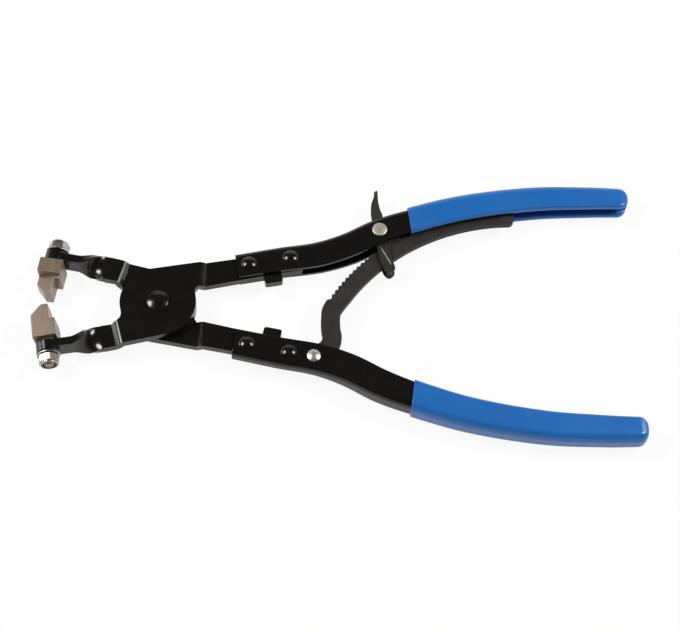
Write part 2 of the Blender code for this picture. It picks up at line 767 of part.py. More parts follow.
def bar_middle():
    """Middle line of the bar: the hooked foot from its rivet, then the arc."""
    arc = [Vector(spot) for spot in bar_arc(BAR_ARC_R, BAR_ARC_STEPS)]
    pivot = bar_place()
    span = arc[0] - pivot
    knots = [pivot] + [pivot + Vector((span.x * u, span.y * v)) for u, v in BAR_FOOT_SHARES] + arc[:2]
    foot = []
    for i in range(len(knots) - 2):
        before = knots[max(i - 1, 0)]
        for k in range(ARC_STEPS):
            foot.append(spline_point(before, knots[i], knots[i + 1], knots[i + 2], k / ARC_STEPS))
    return foot, arc


def spline_point(p0, p1, p2, p3, t):
    """A point of the smooth curve through p1 and p2."""
    ahead = (p2 - p0) / 2
    behind = (p3 - p1) / 2
    return (
        p1 * (1 + 2 * t) * (1 - t) ** 2 + ahead * t * (1 - t) ** 2
        + p2 * t * t * (3 - 2 * t) + behind * t * t * (t - 1)
    )


def offset_points(points, offset):
    moved = []
    for i, spot in enumerate(points):
        along = (points[min(i + 1, len(points) - 1)] - points[max(i - 1, 0)]).normalized()
        moved.append(spot + Vector((-along.y, along.x)) * offset)
    return moved


def tooth_angle():
    """Angle on the bar's arc of the gullet under the pawl's tooth at rest."""
    return BAR_CROSS_ANGLE - PAWL_TOOTH_AHEAD / (BAR_ARC_R + BAR_WIDTH / 2)


def toothed_edge():
    """Saw teeth from the foot up to the pawl's tooth, then a relieved edge to the bar's end."""
    centre = bar_centre()
    crest = BAR_ARC_R + BAR_WIDTH / 2
    root = crest - TOOTH_DEPTH
    pitch = TOOTH_PITCH / crest
    gullet = tooth_angle()
    points = []
    for i in range(TOOTH_COUNT, 0, -1):
        low = gullet + pitch * i
        top = low - pitch * TOOTH_RAKE_SHARE
        points.append((centre[0] + root * math.cos(low), centre[1] + root * math.sin(low)))
        points.append((centre[0] + crest * math.cos(top), centre[1] + crest * math.sin(top)))
    points.append((centre[0] + root * math.cos(gullet), centre[1] + root * math.sin(gullet)))
    end = BAR_CROSS_ANGLE - BAR_END_RUN / BAR_ARC_R
    return points + arc_points(centre, crest - BAR_RELIEF, gullet - 2 * pitch, end, BAR_END_STEPS)


def bar_outline():
    foot, arc = bar_middle()
    half = BAR_WIDTH / 2
    teeth_start = tooth_angle() + TOOTH_COUNT * TOOTH_PITCH / (BAR_ARC_R + half)
    centre, place = bar_centre(), bar_place()
    clear_angle = teeth_start + TOOTH_PITCH / 2 / BAR_ARC_R
    upper_foot = []
    for spot in offset_points(foot + arc[:2], half):
        out = spot - centre
        if spot.y < 0.0 or math.atan2(out.y, out.x) > clear_angle:
            upper_foot.append(spot)
    lower = offset_points(foot, -half)
    far_arc = bar_arc(BAR_ARC_R - half, BAR_ARC_STEPS)
    heel_start = math.atan2(upper_foot[0].y - place.y, upper_foot[0].x - place.x)
    heel = arc_points(place, half, heel_start, heel_start + math.pi, BAR_END_STEPS)
    corners = [(*spot, 0.0) for spot in upper_foot]
    corners += [(*spot, 0.0) for spot in toothed_edge()[:-1]]
    corners.append((*toothed_edge()[-1], BAR_TOP_CORNER))
    corners.append((*far_arc[-1], BAR_LOW_CORNER))
    corners += [(*spot, 0.0) for spot in far_arc[-2::-1]]
    corners += [(*spot, 0.0) for spot in lower[:0:-1]]
    corners += [(*spot, 0.0) for spot in heel[-1:0:-1]]
    return rounded(corners)


def moved_to(points, place):
    return [(x - place.x, y - place.y) for x, y in points]


def make_bar(name, pivot, mat):
    bar = add_object(name, flat_mesh(name, moved_to(bar_outline(), bar_place()), BAR_T), pivot, mat)
    drill(bar, name + "_hole", Matrix.Identity(4), SILVER_RIVET_R + GAP, -OVERRUN, OVERRUN, pivot)
    return bar


def pawl_turn():
    """Turn from the tool's axes to the handle's own line at the pawl's rivet."""
    outward = handle_frame(PAWL_SHARE)[1]
    return Matrix.Rotation(math.atan2(-outward.x, outward.y), 4, "Z")


def make_pawl(name, pivot, mat):
    cheek = [(u * PAWL_TONGUE, v * PAWL_TONGUE) for u, v in CHEEK_SHARES]
    cheek_z = (PAWL_DEPTH - PAWL_CHEEK_T) / 2
    overlap = PAWL_DEPTH / 2 - PAWL_CHEEK_T / 2
    front = flat_mesh(name, rounded([(*spot, PAWL_CHEEK_T) for spot in cheek], 2), PAWL_CHEEK_T)
    rear = front.copy()
    front.transform(Matrix.Translation((0.0, 0.0, cheek_z)))
    rear.transform(Matrix.Translation((0.0, 0.0, -cheek_z)))
    pawl = add_object(name, front, pivot, mat)
    boolean(pawl, add_object(name + "_rear_cheek", rear, pivot), "UNION")
    web = box_mesh("web", (WEB_FROM, WEB_LOW, -overlap), (WEB_TO, WEB_HIGH, overlap))
    web.transform(pawl_turn())
    boolean(pawl, add_object(name + "_web", web, pivot), "UNION")
    horn = flat_mesh("horn", [(u * HORN_LENGTH, v * HORN_LENGTH) for u, v in HORN_SHARES], HORN_T)
    boolean(pawl, add_object(name + "_horn", horn, pivot), "UNION")
    bridge = rod_mesh("bridge", BRIDGE_R, -overlap, overlap, BAR_END_STEPS)
    u, v = BRIDGE_SHARES
    bridge.transform(Matrix.Translation((u * PAWL_TONGUE, v * PAWL_TONGUE, 0.0)))
    boolean(pawl, add_object(name + "_bridge", bridge, pivot), "UNION")
    tooth = flat_mesh("tooth", pawl_tooth_outline(), 2 * overlap)
    boolean(pawl, add_object(name + "_tooth", tooth, pivot), "UNION")
    drill(pawl, name + "_hole", Matrix.Identity(4), SILVER_RIVET_R + GAP, -OVERRUN, OVERRUN, pivot)
    return pawl


def pawl_tooth_outline():
    """The tooth between the cheeks, its tip just clear of the bar's teeth."""
    centre = bar_centre() - pawl_place()
    angle = tooth_angle()
    out = Vector((math.cos(angle), math.sin(angle)))
    back = Vector((-out.y, out.x))
    tip = centre + out * (BAR_ARC_R + BAR_WIDTH / 2 + PAWL_TOOTH_CLEAR)
    top = tip + out * PAWL_TOOTH_HEIGHT
    half = PAWL_TOOTH_WIDTH / 2
    spots = [tip, tip + back * half + out * half, top + back * half, top - back * half]
    spots.append(tip - back * half + out * half)
    return [tuple(spot) for spot in spots]


def slot_channel(channel, half, name):
    """Open the handle's back where the horn comes out."""
    side = HORN_T / 2 + SLOT_CLEAR
    mesh = box_mesh(name, (SLOT_FROM, WEB_HIGH, -side), (SLOT_TO, WEB_HIGH + OVERRUN, side))
    mesh.transform(Matrix.Translation(pawl_place().to_3d()) @ pawl_turn())
    boolean(channel, add_object(name, mesh, half), "DIFFERENCE")


def spring_points():
    """A helix about the rivet with one leg beside the pawl's web and one to the handle's back."""
    coil = []
    for i in range(SPRING_STEPS + 1):
        angle = math.pi + math.tau * i / TURN_POINTS
        z = SPRING_PITCH * (i - SPRING_STEPS / 2) / TURN_POINTS
        coil.append(Vector((SPRING_COIL_R * math.cos(angle), SPRING_COIL_R * math.sin(angle), z)))
    last = math.pi + math.tau * SPRING_STEPS / TURN_POINTS
    trail = Vector((-math.sin(last), math.cos(last), 0.0))
    return [coil[0] + Vector((0.0, SPRING_PAWL_LEG, 0.0))] + coil + [coil[-1] + trail * SPRING_HANDLE_LEG]


def spring_gap(points):
    """Least gap between stretches of the wire that are half a turn or more apart."""
    least = math.inf
    for i, spot in enumerate(points):
        for other in points[i + TURN_POINTS // 2 + 1:]:
            least = min(least, (spot - other).length - 2 * SPRING_WIRE_R)
    return least


def make_spring(name, half, mat):
    points = spring_points()
    mesh = wire_mesh(name, points, SPRING_WIRE_R)
    mesh.transform(pawl_turn())
    spring = add_object(name, mesh, half, mat)
    spring.location = pawl_place().to_3d()
    smooth(mesh)
    print(f"pawl_spring least gap to itself: {spring_gap(points) / MM:.2f} mm")
    return spring


def head_outline():
    """Profile of a jaw head, base down, with its nose between an outer slope and the notch."""
    left = -HEAD_WIDTH / 2 - HEAD_SHIFT
    right = HEAD_WIDTH / 2 - HEAD_SHIFT
    wall = right - NOTCH_WIDTH
    return [
        (left, 0.0), (right, 0.0), (right, HEAD_FLOOR), (wall, HEAD_FLOOR), (wall, HEAD_HEIGHT),
        (wall - NOSE_TIP, HEAD_HEIGHT), (left, HEAD_SHOULDER),
    ]


def head_step():
    """Wedge that takes the nose off the rear of the head, down to a floor below the notch's."""
    left = -HEAD_WIDTH / 2 - HEAD_SHIFT
    wall = HEAD_WIDTH / 2 - HEAD_SHIFT - NOTCH_WIDTH
    run = wall - left
    slope = NOSE_STEP_FAR / run
    outer = left - OVERRUN
    inner = HEAD_WIDTH + OVERRUN
    spots = [
        (outer, slope * OVERRUN), (inner, -slope * (inner - left)), (inner, -HEAD_DEPTH),
        (outer, -HEAD_DEPTH),
    ]
    mesh = upright(flat_mesh("head_step", spots, HEAD_HEIGHT))
    mesh.transform(Matrix.Translation((0.0, HEAD_FLOOR - NOSE_STEP_DROP + HEAD_HEIGHT / 2, 0.0)))
    return mesh


def stud_length():
    return BOSS_HEIGHT + GAP + WASHER_T + GAP + NUT_T + COLLAR_T + STUD_PROUD


def make_head(name, jaw, mat):
    mesh = flat_mesh(name, head_outline(), HEAD_DEPTH)
    head = add_object(name, mesh, jaw, mat)
    head.location = (0.0, HEAD_STANDOFF, 0.0)
    step = add_object(name + "_step", head_step(), jaw)
    step.location = head.location
    boolean(head, step, "DIFFERENCE")
    edges = head.modifiers.new("edges", "BEVEL")
    edges.width = HEAD_BEVEL
    edges.segments = 1
    edges.limit_method = "ANGLE"
    shoulder = along_stud(rod_mesh("shoulder", SHOULDER_R, GAP, HEAD_STANDOFF + GAP))
    boolean(head, add_object(name + "_shoulder", shoulder, jaw), "UNION")
    stud = along_stud(rod_mesh("stud", STUD_R, -stud_length(), OVERRUN / 2))
    boolean(head, add_object(name + "_stud", stud, jaw), "UNION")
    return head


def ring_profile(inner, outer, low, high):
    return [(inner, high), (outer, high), (outer, low), (inner, low)]


def down_stud(obj, distance):
    """Hang a piece turned about Z on the stud, its base away from the boss."""
    obj.rotation_euler = (math.pi / 2, 0.0, 0.0)
    obj.location = (0.0, -distance, 0.0)


def make_washer(name, jaw, mat):
    profile = ring_profile(STUD_R + STUD_CLEAR, WASHER_R, 0.0, WASHER_T)
    washer = turned(name, profile, jaw, mat, ring=True)
    down_stud(washer, BOSS_HEIGHT + GAP)


def make_nut(name, jaw, mat):
    start = BOSS_HEIGHT + GAP + WASHER_T + GAP
    hexagon = rod_mesh(name, NUT_FLATS / 2 / math.cos(math.pi / 6), 0.0, NUT_T, 6)
    nut = add_object(name, hexagon, jaw, mat)
    down_stud(nut, start)
    collar = add_object(name + "_collar", rod_mesh("collar", COLLAR_R, NUT_T / 2, NUT_T + COLLAR_T), jaw)
    bore = add_object(name + "_bore", rod_mesh("bore", STUD_R + STUD_CLEAR, -OVERRUN, 2 * OVERRUN), jaw)
    seat = add_object(name + "_seat", rod_mesh("seat", COLLAR_R - COLLAR_WALL, NUT_T, 2 * OVERRUN), jaw)
    for other, operation in ((collar, "UNION"), (bore, "DIFFERENCE"), (seat, "DIFFERENCE")):
        down_stud(other, start)
        boolean(nut, other, operation)


def make_insert(name, jaw, mat):
    start = BOSS_HEIGHT + GAP + WASHER_T + GAP + NUT_T + GAP
    outer = COLLAR_R - COLLAR_WALL - GAP / 2
    insert = turned(name, ring_profile(STUD_R + GAP / 2, outer, 0.0, INSERT_T), jaw, mat, ring=True)
    down_stud(insert, start)


def jaw_frame(name, half, swivel):
    """Frame on a boss's head side, +Y along the stud towards the nose."""
    lean = empty(name + "_lean", (-BOSS_X, -BOSS_Y, 0.0), half, (0.0, 0.0, JAW_LEAN))
    return empty(name, (0.0, STRIP_T / 2, 0.0), lean, (0.0, swivel, 0.0))


def make_jaw(prefix, half, swivel, mats):
    jaw = jaw_frame(prefix, half, swivel)
    make_head(prefix + "_head", jaw, mats["nickel"])
    make_washer(prefix + "_washer", jaw, mats["zinc"])
    make_nut(prefix + "_nut", jaw, mats["zinc"])
    make_insert(prefix + "_nut_insert", jaw, mats["nylon"])


def make_half(prefix, side, half, mats):
    make_plate(side + "_jaw_plate", half, mats["black"])
    channel = make_channel(prefix + "_handle_channel", half, mats["black"])
    make_grip(prefix + "_grip", half, mats["vinyl"])
    sizes = (HANDLE_RIVET_R, HANDLE_RIVET_HEAD_R, HANDLE_RIVET_DOME)
    for number, place in enumerate(handle_rivet_places(), 1):
        name = f"{prefix}_handle_rivet_{number}"
        make_rivet(name, place.translation, half, sizes, handle_rivet_half_length(), mats["black"])
    return channel


def make_materials():
    return {
        "black": material("black_steel", (0.012, 0.011, 0.009), 0.6, 0.35),
        "bar": material("bar_steel", (0.045, 0.042, 0.034), 0.8, 0.4),
        "vinyl": material("blue_vinyl", (0.012, 0.13, 0.5), 0.0, 0.28),
        "nickel": material("satin_nickel", (0.42, 0.35, 0.27), 0.9, 0.4),
        "zinc": material("zinc_plate", (0.72, 0.71, 0.68), 0.9, 0.25),
        "spring": material("spring_steel", (0.3, 0.3, 0.3), 0.9, 0.3),
        "nylon": material("nylon", (0.25, 0.2, 0.15), 0.0, 0.5),
    }


def silver_rivet(name, place, share, parent, mats):
    sizes = (SILVER_RIVET_R, SILVER_RIVET_HEAD_R, SILVER_RIVET_DOME)
    return make_rivet(name, place, parent, sizes, channel_width(share) / 2 + GAP, mats["zinc"])


def drill_silver(channel, name, x, y, half):
    place = Matrix.Translation((x, y, 0.0))
    drill(channel, name, place, SILVER_RIVET_R + GAP, -2 * OVERRUN, 2 * OVERRUN, half)


def main():
    mats = make_materials()
    pivot = empty("main_pivot", (-PIVOT_BACK, 0.0, 0.0))
    rear = empty("rear_half", (0.0, 0.0, 0.0), pivot, (math.pi, 0.0, 0.0))
    pawl_spot, bar_spot = pawl_place().to_3d(), bar_place().to_3d()
    bar_pivot = empty("bar_pivot", bar_spot, pivot)
    pawl_pivot = empty("pawl_pivot", pawl_spot, pivot)

    upper_channel = make_half("upper", "front", pivot, mats)
    lower_channel = make_half("lower", "rear", rear, mats)

    sizes = (PIVOT_SHANK_R, PIVOT_HEAD_R, PIVOT_DOME)
    make_rivet("main_pivot_rivet", (0.0, 0.0, 0.0), pivot, sizes, PLATE_T + GAP * 3 / 2, mats["black"])

    drill_silver(upper_channel, "upper_pawl_hole", pawl_spot.x, pawl_spot.y, pivot)
    slot_channel(upper_channel, pivot, "upper_horn_slot")
    silver_rivet("pawl_rivet", pawl_spot, PAWL_SHARE, pivot, mats)
    make_pawl("pawl_lever", pawl_pivot, mats["bar"])
    make_spring("pawl_spring", pivot, mats["spring"])

    drill_silver(lower_channel, "lower_bar_hole", bar_spot.x, -bar_spot.y, rear)
    silver_rivet("ratchet_bar_rivet", bar_spot, BAR_PIVOT_SHARE, pivot, mats)
    make_bar("ratchet_bar", bar_pivot, mats["bar"])

    make_jaw("lower_jaw", pivot, LOWER_SWIVEL, mats)
    make_jaw("upper_jaw", rear, UPPER_SWIVEL, mats)


main()
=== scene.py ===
"""Looks of the hose clamp pliers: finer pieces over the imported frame, finishes, floor, light and camera.

Sizes are in metres and follow the frame's own. Each half of the tool is shaped about the main pivot, as the
upper handle's half, and the other half is the same one turned over about the X axis.
"""
import math

import bmesh
import bpy
from mathutils import Matrix, Vector


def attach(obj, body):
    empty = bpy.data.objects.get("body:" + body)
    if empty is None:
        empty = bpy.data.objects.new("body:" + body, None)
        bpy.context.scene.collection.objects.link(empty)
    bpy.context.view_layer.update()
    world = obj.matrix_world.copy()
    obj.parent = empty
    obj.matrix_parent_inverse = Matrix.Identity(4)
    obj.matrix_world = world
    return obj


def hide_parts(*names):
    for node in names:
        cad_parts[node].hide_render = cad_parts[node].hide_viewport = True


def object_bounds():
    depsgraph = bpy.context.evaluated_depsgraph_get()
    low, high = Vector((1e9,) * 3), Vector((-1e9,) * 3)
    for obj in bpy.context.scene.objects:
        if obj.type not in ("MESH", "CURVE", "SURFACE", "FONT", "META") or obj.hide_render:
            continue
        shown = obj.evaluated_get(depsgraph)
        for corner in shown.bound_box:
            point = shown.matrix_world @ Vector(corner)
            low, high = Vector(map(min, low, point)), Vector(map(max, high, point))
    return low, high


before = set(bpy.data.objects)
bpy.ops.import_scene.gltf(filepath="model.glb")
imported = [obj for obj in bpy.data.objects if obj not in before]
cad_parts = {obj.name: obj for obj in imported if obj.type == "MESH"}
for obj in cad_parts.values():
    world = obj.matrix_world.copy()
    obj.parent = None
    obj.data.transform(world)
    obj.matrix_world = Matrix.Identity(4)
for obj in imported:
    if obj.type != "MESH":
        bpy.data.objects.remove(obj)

CAD_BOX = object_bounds()
MM = 0.001

# Smoothness of the shapes
ROUND_STEPS = 64
ARC_STEPS = 10
DISC_STEPS = 60
HANDLE_STEPS = 110
BEND_CUTS = 14
SOFT_EDGE = 0.25 * MM
EDGE_STEPS = 3
EDGE_ANGLE = math.radians(33.0)
SMOOTH_ANGLE = math.radians(40.0)
LOOP_STEPS = 6
MERGE = 0.005 * MM
CUT_REACH = 20.0 * MM

# Main pivot, plates and their joggles
PIVOT_BACK = 74.87 * MM
PLATE_T = 3.4 * MM
PLATE_GAP = 0.3 * MM
PIVOT_CLEAR = 0.3 * MM
DISC_R = 15.9 * MM
JOGGLE_CLEAR = 0.35 * MM
JAW_JOGGLE_CLEAR = 1.65 * MM
JOGGLE_RUN = 3.4 * MM
JOGGLE_LEAN = math.radians(15.0)
JOGGLE_BEND_SHARE = 0.36
HANDLE_ROOT_FILLET = 3.0 * MM
JAW_ROOT_FILLET = 4.5 * MM
HANDLE_ROOT_ANGLE = math.radians(27.0)
JAW_ROOT_ANGLE = math.radians(216.0)
ARM_CORNER = 1.5 * MM
ARM_END_SHARE = 0.161
ARM_INSET = 0.8 * MM
ARM_PROUD = 0.7 * MM
TAB_SHARES = (0.059, 0.1035)
TAB_REACH = 4.3 * MM
TAB_CORNER = 1.0 * MM
ARM_STEPS = 16

# Twisted strips and bosses
ARM_WIDTH = 10.6 * MM
TWIST_FROM = (-22.0 * MM, -16.4 * MM)
TWIST_TO = (-35.0 * MM, -19.3 * MM)
TWIST_STEPS = 40
STRIP_WIDTH = 8.8 * MM
STRIP_T = 3.7 * MM
STRIP_CORNER = 0.55 * MM
STRIP_OVERLAP = 2.0 * MM
STRIP_SHRINK = 0.03 * MM
STRIP_CORNER_STEPS = 4
STRIP_SIDE_STEPS = 12
STRIP_END_SHARES = (0.3, 0.6, 1.0)
BOSS = (-44.3 * MM, -20.95 * MM)
BOSS_R = 4.9 * MM
BOSS_HEIGHT = 4.8 * MM
BOSS_CHAMFER = 0.4 * MM
JAW_LEAN = math.radians(9.0)

# Handle channels
HANDLE_X = 32.6 * MM
HANDLE_Y = 18.2 * MM
HANDLE_RUN = 169.0 * MM
HANDLE_RISE = 36.9 * MM
HANDLE_LINE_SHARES = (
    (0.0, 0.0), (0.109, 0.103), (0.204, 0.181), (0.279, 0.304), (0.355, 0.49),
    (0.432, 0.632), (0.574, 0.832), (0.751, 0.968), (0.9, 1.0), (1.0, 1.0),
)
LINE_STEP_SHARE = 0.001
CHANNEL_WALL = 1.3 * MM
CHANNEL_HEIGHT = 12.0 * MM
CHANNEL_HEIGHT_SHARES = (
    (0.0, 0.99), (0.2, 1.035), (0.36, 1.0), (0.45, 0.94),
    (0.6, 0.905), (0.75, 0.875), (0.88, 0.815), (1.0, 0.715),
)
CHANNEL_FRONT_WIDTH = 6.8 * MM
CHANNEL_GRIP_WIDTH = 9.3 * MM
CHANNEL_TAPER = 0.9 * MM
CHANNEL_CORNER = 2.6 * MM
WIDEN_FROM_SHARE = 0.16
WIDEN_TO_SHARE = 0.37
CHANNEL_END_SHARE = 0.975

# Grips
GRIP_COAT = 0.98 * MM
GRIP_FROM_SHARE = 0.433
GRIP_SLANT = math.radians(12.0)
GRIP_TIP = 4.1 * MM
GRIP_TIP_ROUND = 4.1 * MM
GRIP_TIP_PINCH = 1.9 * MM
GRIP_TIP_STEPS = 14
GRIP_RIM = 0.35 * MM
GRIP_RIM_STEPS = 4
GRIP_SLANT_STEPS = 6
GRIP_LEAST_BEND = 0.3 * MM

# Rivets
PIVOT_RIVET = {"shank": 3.1 * MM, "head": 4.7 * MM, "rise": 1.85 * MM, "crown": 10.8 * MM, "rim": 0.9 * MM}
HANDLE_RIVET = {"shank": 2.0 * MM, "head": 3.3 * MM, "rise": 1.38 * MM, "crown": 4.9 * MM, "rim": 0.25 * MM}
LEVER_RIVET = {"shank": 1.6 * MM, "head": 3.12 * MM, "rise": 0.68 * MM, "crown": 16.0 * MM, "rim": 0.5 * MM}
BAR_RIVET = {"shank": 1.6 * MM, "head": 2.8 * MM, "rise": 1.0 * MM, "crown": 5.6 * MM, "rim": 0.25 * MM}
HANDLE_RIVET_SHARES = (0.029, 0.1325)
HANDLE_RIVET_OFFSET = -0.2 * MM
CROWN_STEPS = 24
CROWN_HALF = 12

# Ratchet bar
BAR_T = 3.0 * MM
BAR_WIDTH = 8.0 * MM
BAR_ARC_R = 91.4 * MM
BAR_CROSS_ANGLE = math.radians(126.465)
BAR_CROSS_DEPTH = 5.89 * MM
BAR_FOOT_RUN = 31.16 * MM
BAR_END_RUN = 56.2 * MM
BAR_PIVOT_SHARE = 0.19317
BAR_PIVOT_OFFSET = -0.246 * MM
BAR_FOOT_SHARES = ((0.33, 0.11), (0.53, 0.19), (0.627, 0.316), (0.581, 0.449), (0.57, 0.62), (0.63, 0.775))
BAR_TOP_CORNER = 0.8 * MM
BAR_LOW_CORNER = 2.2 * MM
BAR_EDGE = 0.15 * MM
BAR_START_STEPS = 22
BAR_BACK_STEPS = 60
BAR_RUN_STEPS = 24
BAR_END_SKIP = 4
BAR_HOLE = (144.55 * MM, 45.07 * MM)
BAR_HOLE_R = 0.6 * MM
TOOTH_PITCH = 2.5 * MM
TOOTH_DEPTH = 1.0 * MM
TOOTH_COUNT = 17
TOOTH_RAKE_SHARE = 0.8
TOOTH_ROUND = 0.52 * MM
TOOTH_ROUND_STEPS = 5
BAR_RELIEF = 2.0 * MM

# Release lever
PAWL_SHARE = 0.35679
PAWL_OFFSET = -0.245 * MM
PAWL_DEPTH = 5.9 * MM
PAWL_CHEEK_T = 1.1 * MM
PAWL_TONGUE = 20.1 * MM
CHEEK_SHARES = (
    (-0.20, 0.06), (-0.18, -0.12), (-0.075, -0.32), (-0.02, -0.56), (0.04, -0.77), (0.11, -0.93),
    (0.205, -1.0), (0.30, -0.94), (0.325, -0.85), (0.27, -0.68), (0.235, -0.36), (0.30, -0.17),
    (0.42, -0.11), (0.48, -0.03), (0.47, 0.07), (0.36, 0.14), (0.16, 0.17), (-0.08, 0.15),
)
HORN_LENGTH = 21.5 * MM
HORN_T = 2.8 * MM
HORN_SHARES = (
    (-0.05, 0.14), (-0.139, 0.30), (-0.15, 0.40), (-0.163, 0.51), (-0.156, 0.685),
    (-0.117, 0.82), (-0.09, 0.91), (-0.095, 0.975), (-0.03, 1.0), (-0.02, 0.82),
    (-0.004, 0.69), (0.03, 0.54), (0.065, 0.45), (0.085, 0.28), (0.12, 0.14),
)
RIDGE = ((-1.21 * MM, -4.59 * MM), (6.92 * MM, -20.1 * MM))
RIDGE_DROP = 0.5 * MM
RIDGE_EDGE = 0.32 * MM
# Painted highlight: a bright sliver laid along the lever's ridge to stand in for the lamp's light line
# there
HIGHLIGHT_SLIVER_SHARES = (0.17, 0.77)
HIGHLIGHT_SLIVER_WIDTH = 0.5 * MM
HIGHLIGHT_SLIVER_PROUD = 0.02 * MM
HIGHLIGHT_SLIVER_TAPER_SHARE = 0.2
WEB = ((-0.6 * MM, 2.8 * MM), (3.4 * MM, 3.9 * MM))
BRIDGE_R = 1.3 * MM
BRIDGE_SHARES = (0.215, -0.91)
PAWL_TOOTH_AHEAD = 5.5 * MM
PAWL_TOOTH_CLEAR = 0.5 * MM
PAWL_TOOTH_WIDTH = 2.4 * MM
PAWL_TOOTH_HEIGHT = 2.6 * MM
SLOT = (-2.4 * MM, 6.9 * MM)
SLOT_CLEAR = 0.5 * MM
SLOT_CUT = 4 * CHANNEL_WALL

# Pawl spring
SPRING_WIRE_R = 0.3 * MM
SPRING_COIL_R = 2.2 * MM
SPRING_PITCH = 1.05 * MM
SPRING_PAWL_LEG = 3.6 * MM
SPRING_HANDLE_LEG = 12.0 * MM
SPRING_TURNS = 21 / 9
SPRING_STEPS = 84
WIRE_STEPS = 3

# Jaw heads, studs and nuts
HEAD_STANDOFF = 0.95 * MM
SHOULDER_R = 3.9 * MM
HEAD_WIDTH = 9.8 * MM
HEAD_DEPTH = 12.2 * MM
HEAD_SHIFT = 0.2 * MM
HEAD_FLOOR = 7.8 * MM
HEAD_SHOULDER = 10.2 * MM
HEAD_HEIGHT = 14.6 * MM
NOTCH_WIDTH = 2.35 * MM
NOSE_TIP = 3.0 * MM
NOSE_STEP_FAR = 3.4 * MM
NOSE_STEP_DROP = 0.35 * MM
HEAD_EDGE = 0.2 * MM
HEAD_EDGE_STEPS = 2
UPPER_SWIVEL = math.radians(2.2)
LOWER_SWIVEL = math.radians(-5.5)
STUD_R = 2.5 * MM
STUD_CLEAR = 0.3 * MM
STACK_GAP = 0.3 * MM
WASHER_R = 4.9 * MM
WASHER_T = 0.6 * MM
NUT_FLATS = 8.0 * MM
NUT_T = 3.1 * MM
NUT_CHAMFER_ANGLE = math.radians(30.0)
NUT_SMOOTH_ANGLE = math.radians(25.0)
LOWER_NUT_TURN = math.radians(15.5)
COLLAR_R = 3.75 * MM
COLLAR_T = 0.9 * MM
COLLAR_WALL = 0.45 * MM
COLLAR_STEPS = 6
INSERT_T = 0.6 * MM
INSERT_CLEAR = 0.15 * MM
RING_CHAMFER = 0.15 * MM
STUD_PROUD = 0.2 * MM
STUD_CHAMFER = 0.9 * MM
WASHER_DOWN = BOSS_HEIGHT + STACK_GAP
NUT_DOWN = WASHER_DOWN + WASHER_T + STACK_GAP
INSERT_DOWN = NUT_DOWN + NUT_T + STACK_GAP
STUD_DOWN = NUT_DOWN + NUT_T + COLLAR_T + STUD_PROUD

# Dark and light tone of each finish
BLACK_TONES = ((0.0056, 0.005, 0.0038), (0.0072, 0.0064, 0.0048))
BAR_TONES = ((0.023, 0.021, 0.0162), (0.031, 0.0285, 0.0225))
BLUE_TONES = ((0.011, 0.124, 0.415), (0.0135, 0.136, 0.44))
NICKEL_TONES = ((0.25, 0.192, 0.14), (0.315, 0.245, 0.182))
LEVER_RIVET_TONES = ((0.72, 0.69, 0.56), (0.84, 0.81, 0.68))
BAR_RIVET_TONES = ((0.66, 0.65, 0.57), (0.8, 0.78, 0.69))
NUT_TONES = ((0.36, 0.325, 0.29), (0.54, 0.505, 0.46))
WIRE_TONES = ((0.2, 0.2, 0.2), (0.4, 0.4, 0.4))
NYLON_TONES = ((0.13, 0.11, 0.085), (0.22, 0.19, 0.15))

# Floor, surround and lamps
FLOOR_R = 4.0
FLOOR_SIDES = 64
FLOOR_TONE = (0.9, 0.9, 0.9, 1.0)
FLOOR_ROUGHNESS = 0.8
FLOOR_SPECULAR = 0.1
FLOOR_LEVELS = {"Is Camera Ray": 0.92, "Is Glossy Ray": 0.66, "Is Transmission Ray": 0.92}
SKY_TONE = (1.0, 0.93, 0.86, 1.0)
SKY_LOW_LEVEL = 0.9
SKY_HIGH_LEVEL = 0.04
SKY_HIGH_FROM = 0.5

# Name, direction, distance, width, height and power of each lamp
LAMPS = (
    ("left_box", (-0.67, 0.14, 0.73), 1.1, 0.4, 0.32, 8.5),
    ("right_box", (0.68, 0.14, 0.72), 1.1, 0.34, 0.3, 7.5),
    ("left_low_panel", (-0.94, 0.24, 0.22), 1.1, 0.4, 0.36, 1.5),
    ("right_low_panel", (0.85, 0.2, 0.46), 1.1, 0.3, 0.24, 0.5),
    ("back_panel", (0.0, 0.88, 0.46), 1.2, 0.9, 0.36, 0.75),
)

# Camera, in the pivot's own frame
CAMERA_TARGET = (75.0 * MM, 0.0, 0.0)
CAMERA_UP_ANGLE = math.radians(61.5)
CAMERA_SIDE_ANGLE = math.radians(-3.451)
CAMERA_ROLL = math.radians(-4.05)
CAMERA_DISTANCE = 720.0 * MM
CAMERA_LENS = 90.72
CAMERA_SENSOR = 36.0
CAMERA_NEAR = 10.0 * MM
PHOTO_WIDTH = 680
PHOTO_HEIGHT = 630
PHOTO_CENTRE = (337.19, 308.2)

FRONT = Matrix.Translation((-PIVOT_BACK, 0.0, 0.0))
REAR = FRONT @ Matrix.Rotation(math.pi, 4, "X")


# Small shared makers

def loose_object(name, data):
    obj = bpy.data.objects.new(name, data)
    bpy.context.scene.collection.objects.link(obj)
    return obj


def mesh_from(bm, name):
    bmesh.ops.recalc_face_normals(bm, faces=bm.faces)
    mesh = bpy.data.meshes.new(name)
    bm.to_mesh(mesh)
    bm.free()
    return mesh


def settle(obj):
    """Take the object's modifiers into its mesh."""
    depsgraph = bpy.context.evaluated_depsgraph_get()
    mesh = bpy.data.meshes.new_from_object(obj.evaluated_get(depsgraph))
    bpy.data.objects.remove(obj, do_unlink=True)
    return mesh


def cut(obj, mesh, operation="DIFFERENCE"):
    """Cut a solid out of an object, or keep only what lies in it."""
    other = loose_object("cutter", mesh)
    modifier = obj.modifiers.new("cut", "BOOLEAN")
    modifier.object = other
    modifier.operation = operation
    modifier.solver = "EXACT"
    settled = settle(obj)
    bpy.data.objects.remove(other, do_unlink=True)
    return loose_object("piece", settled)


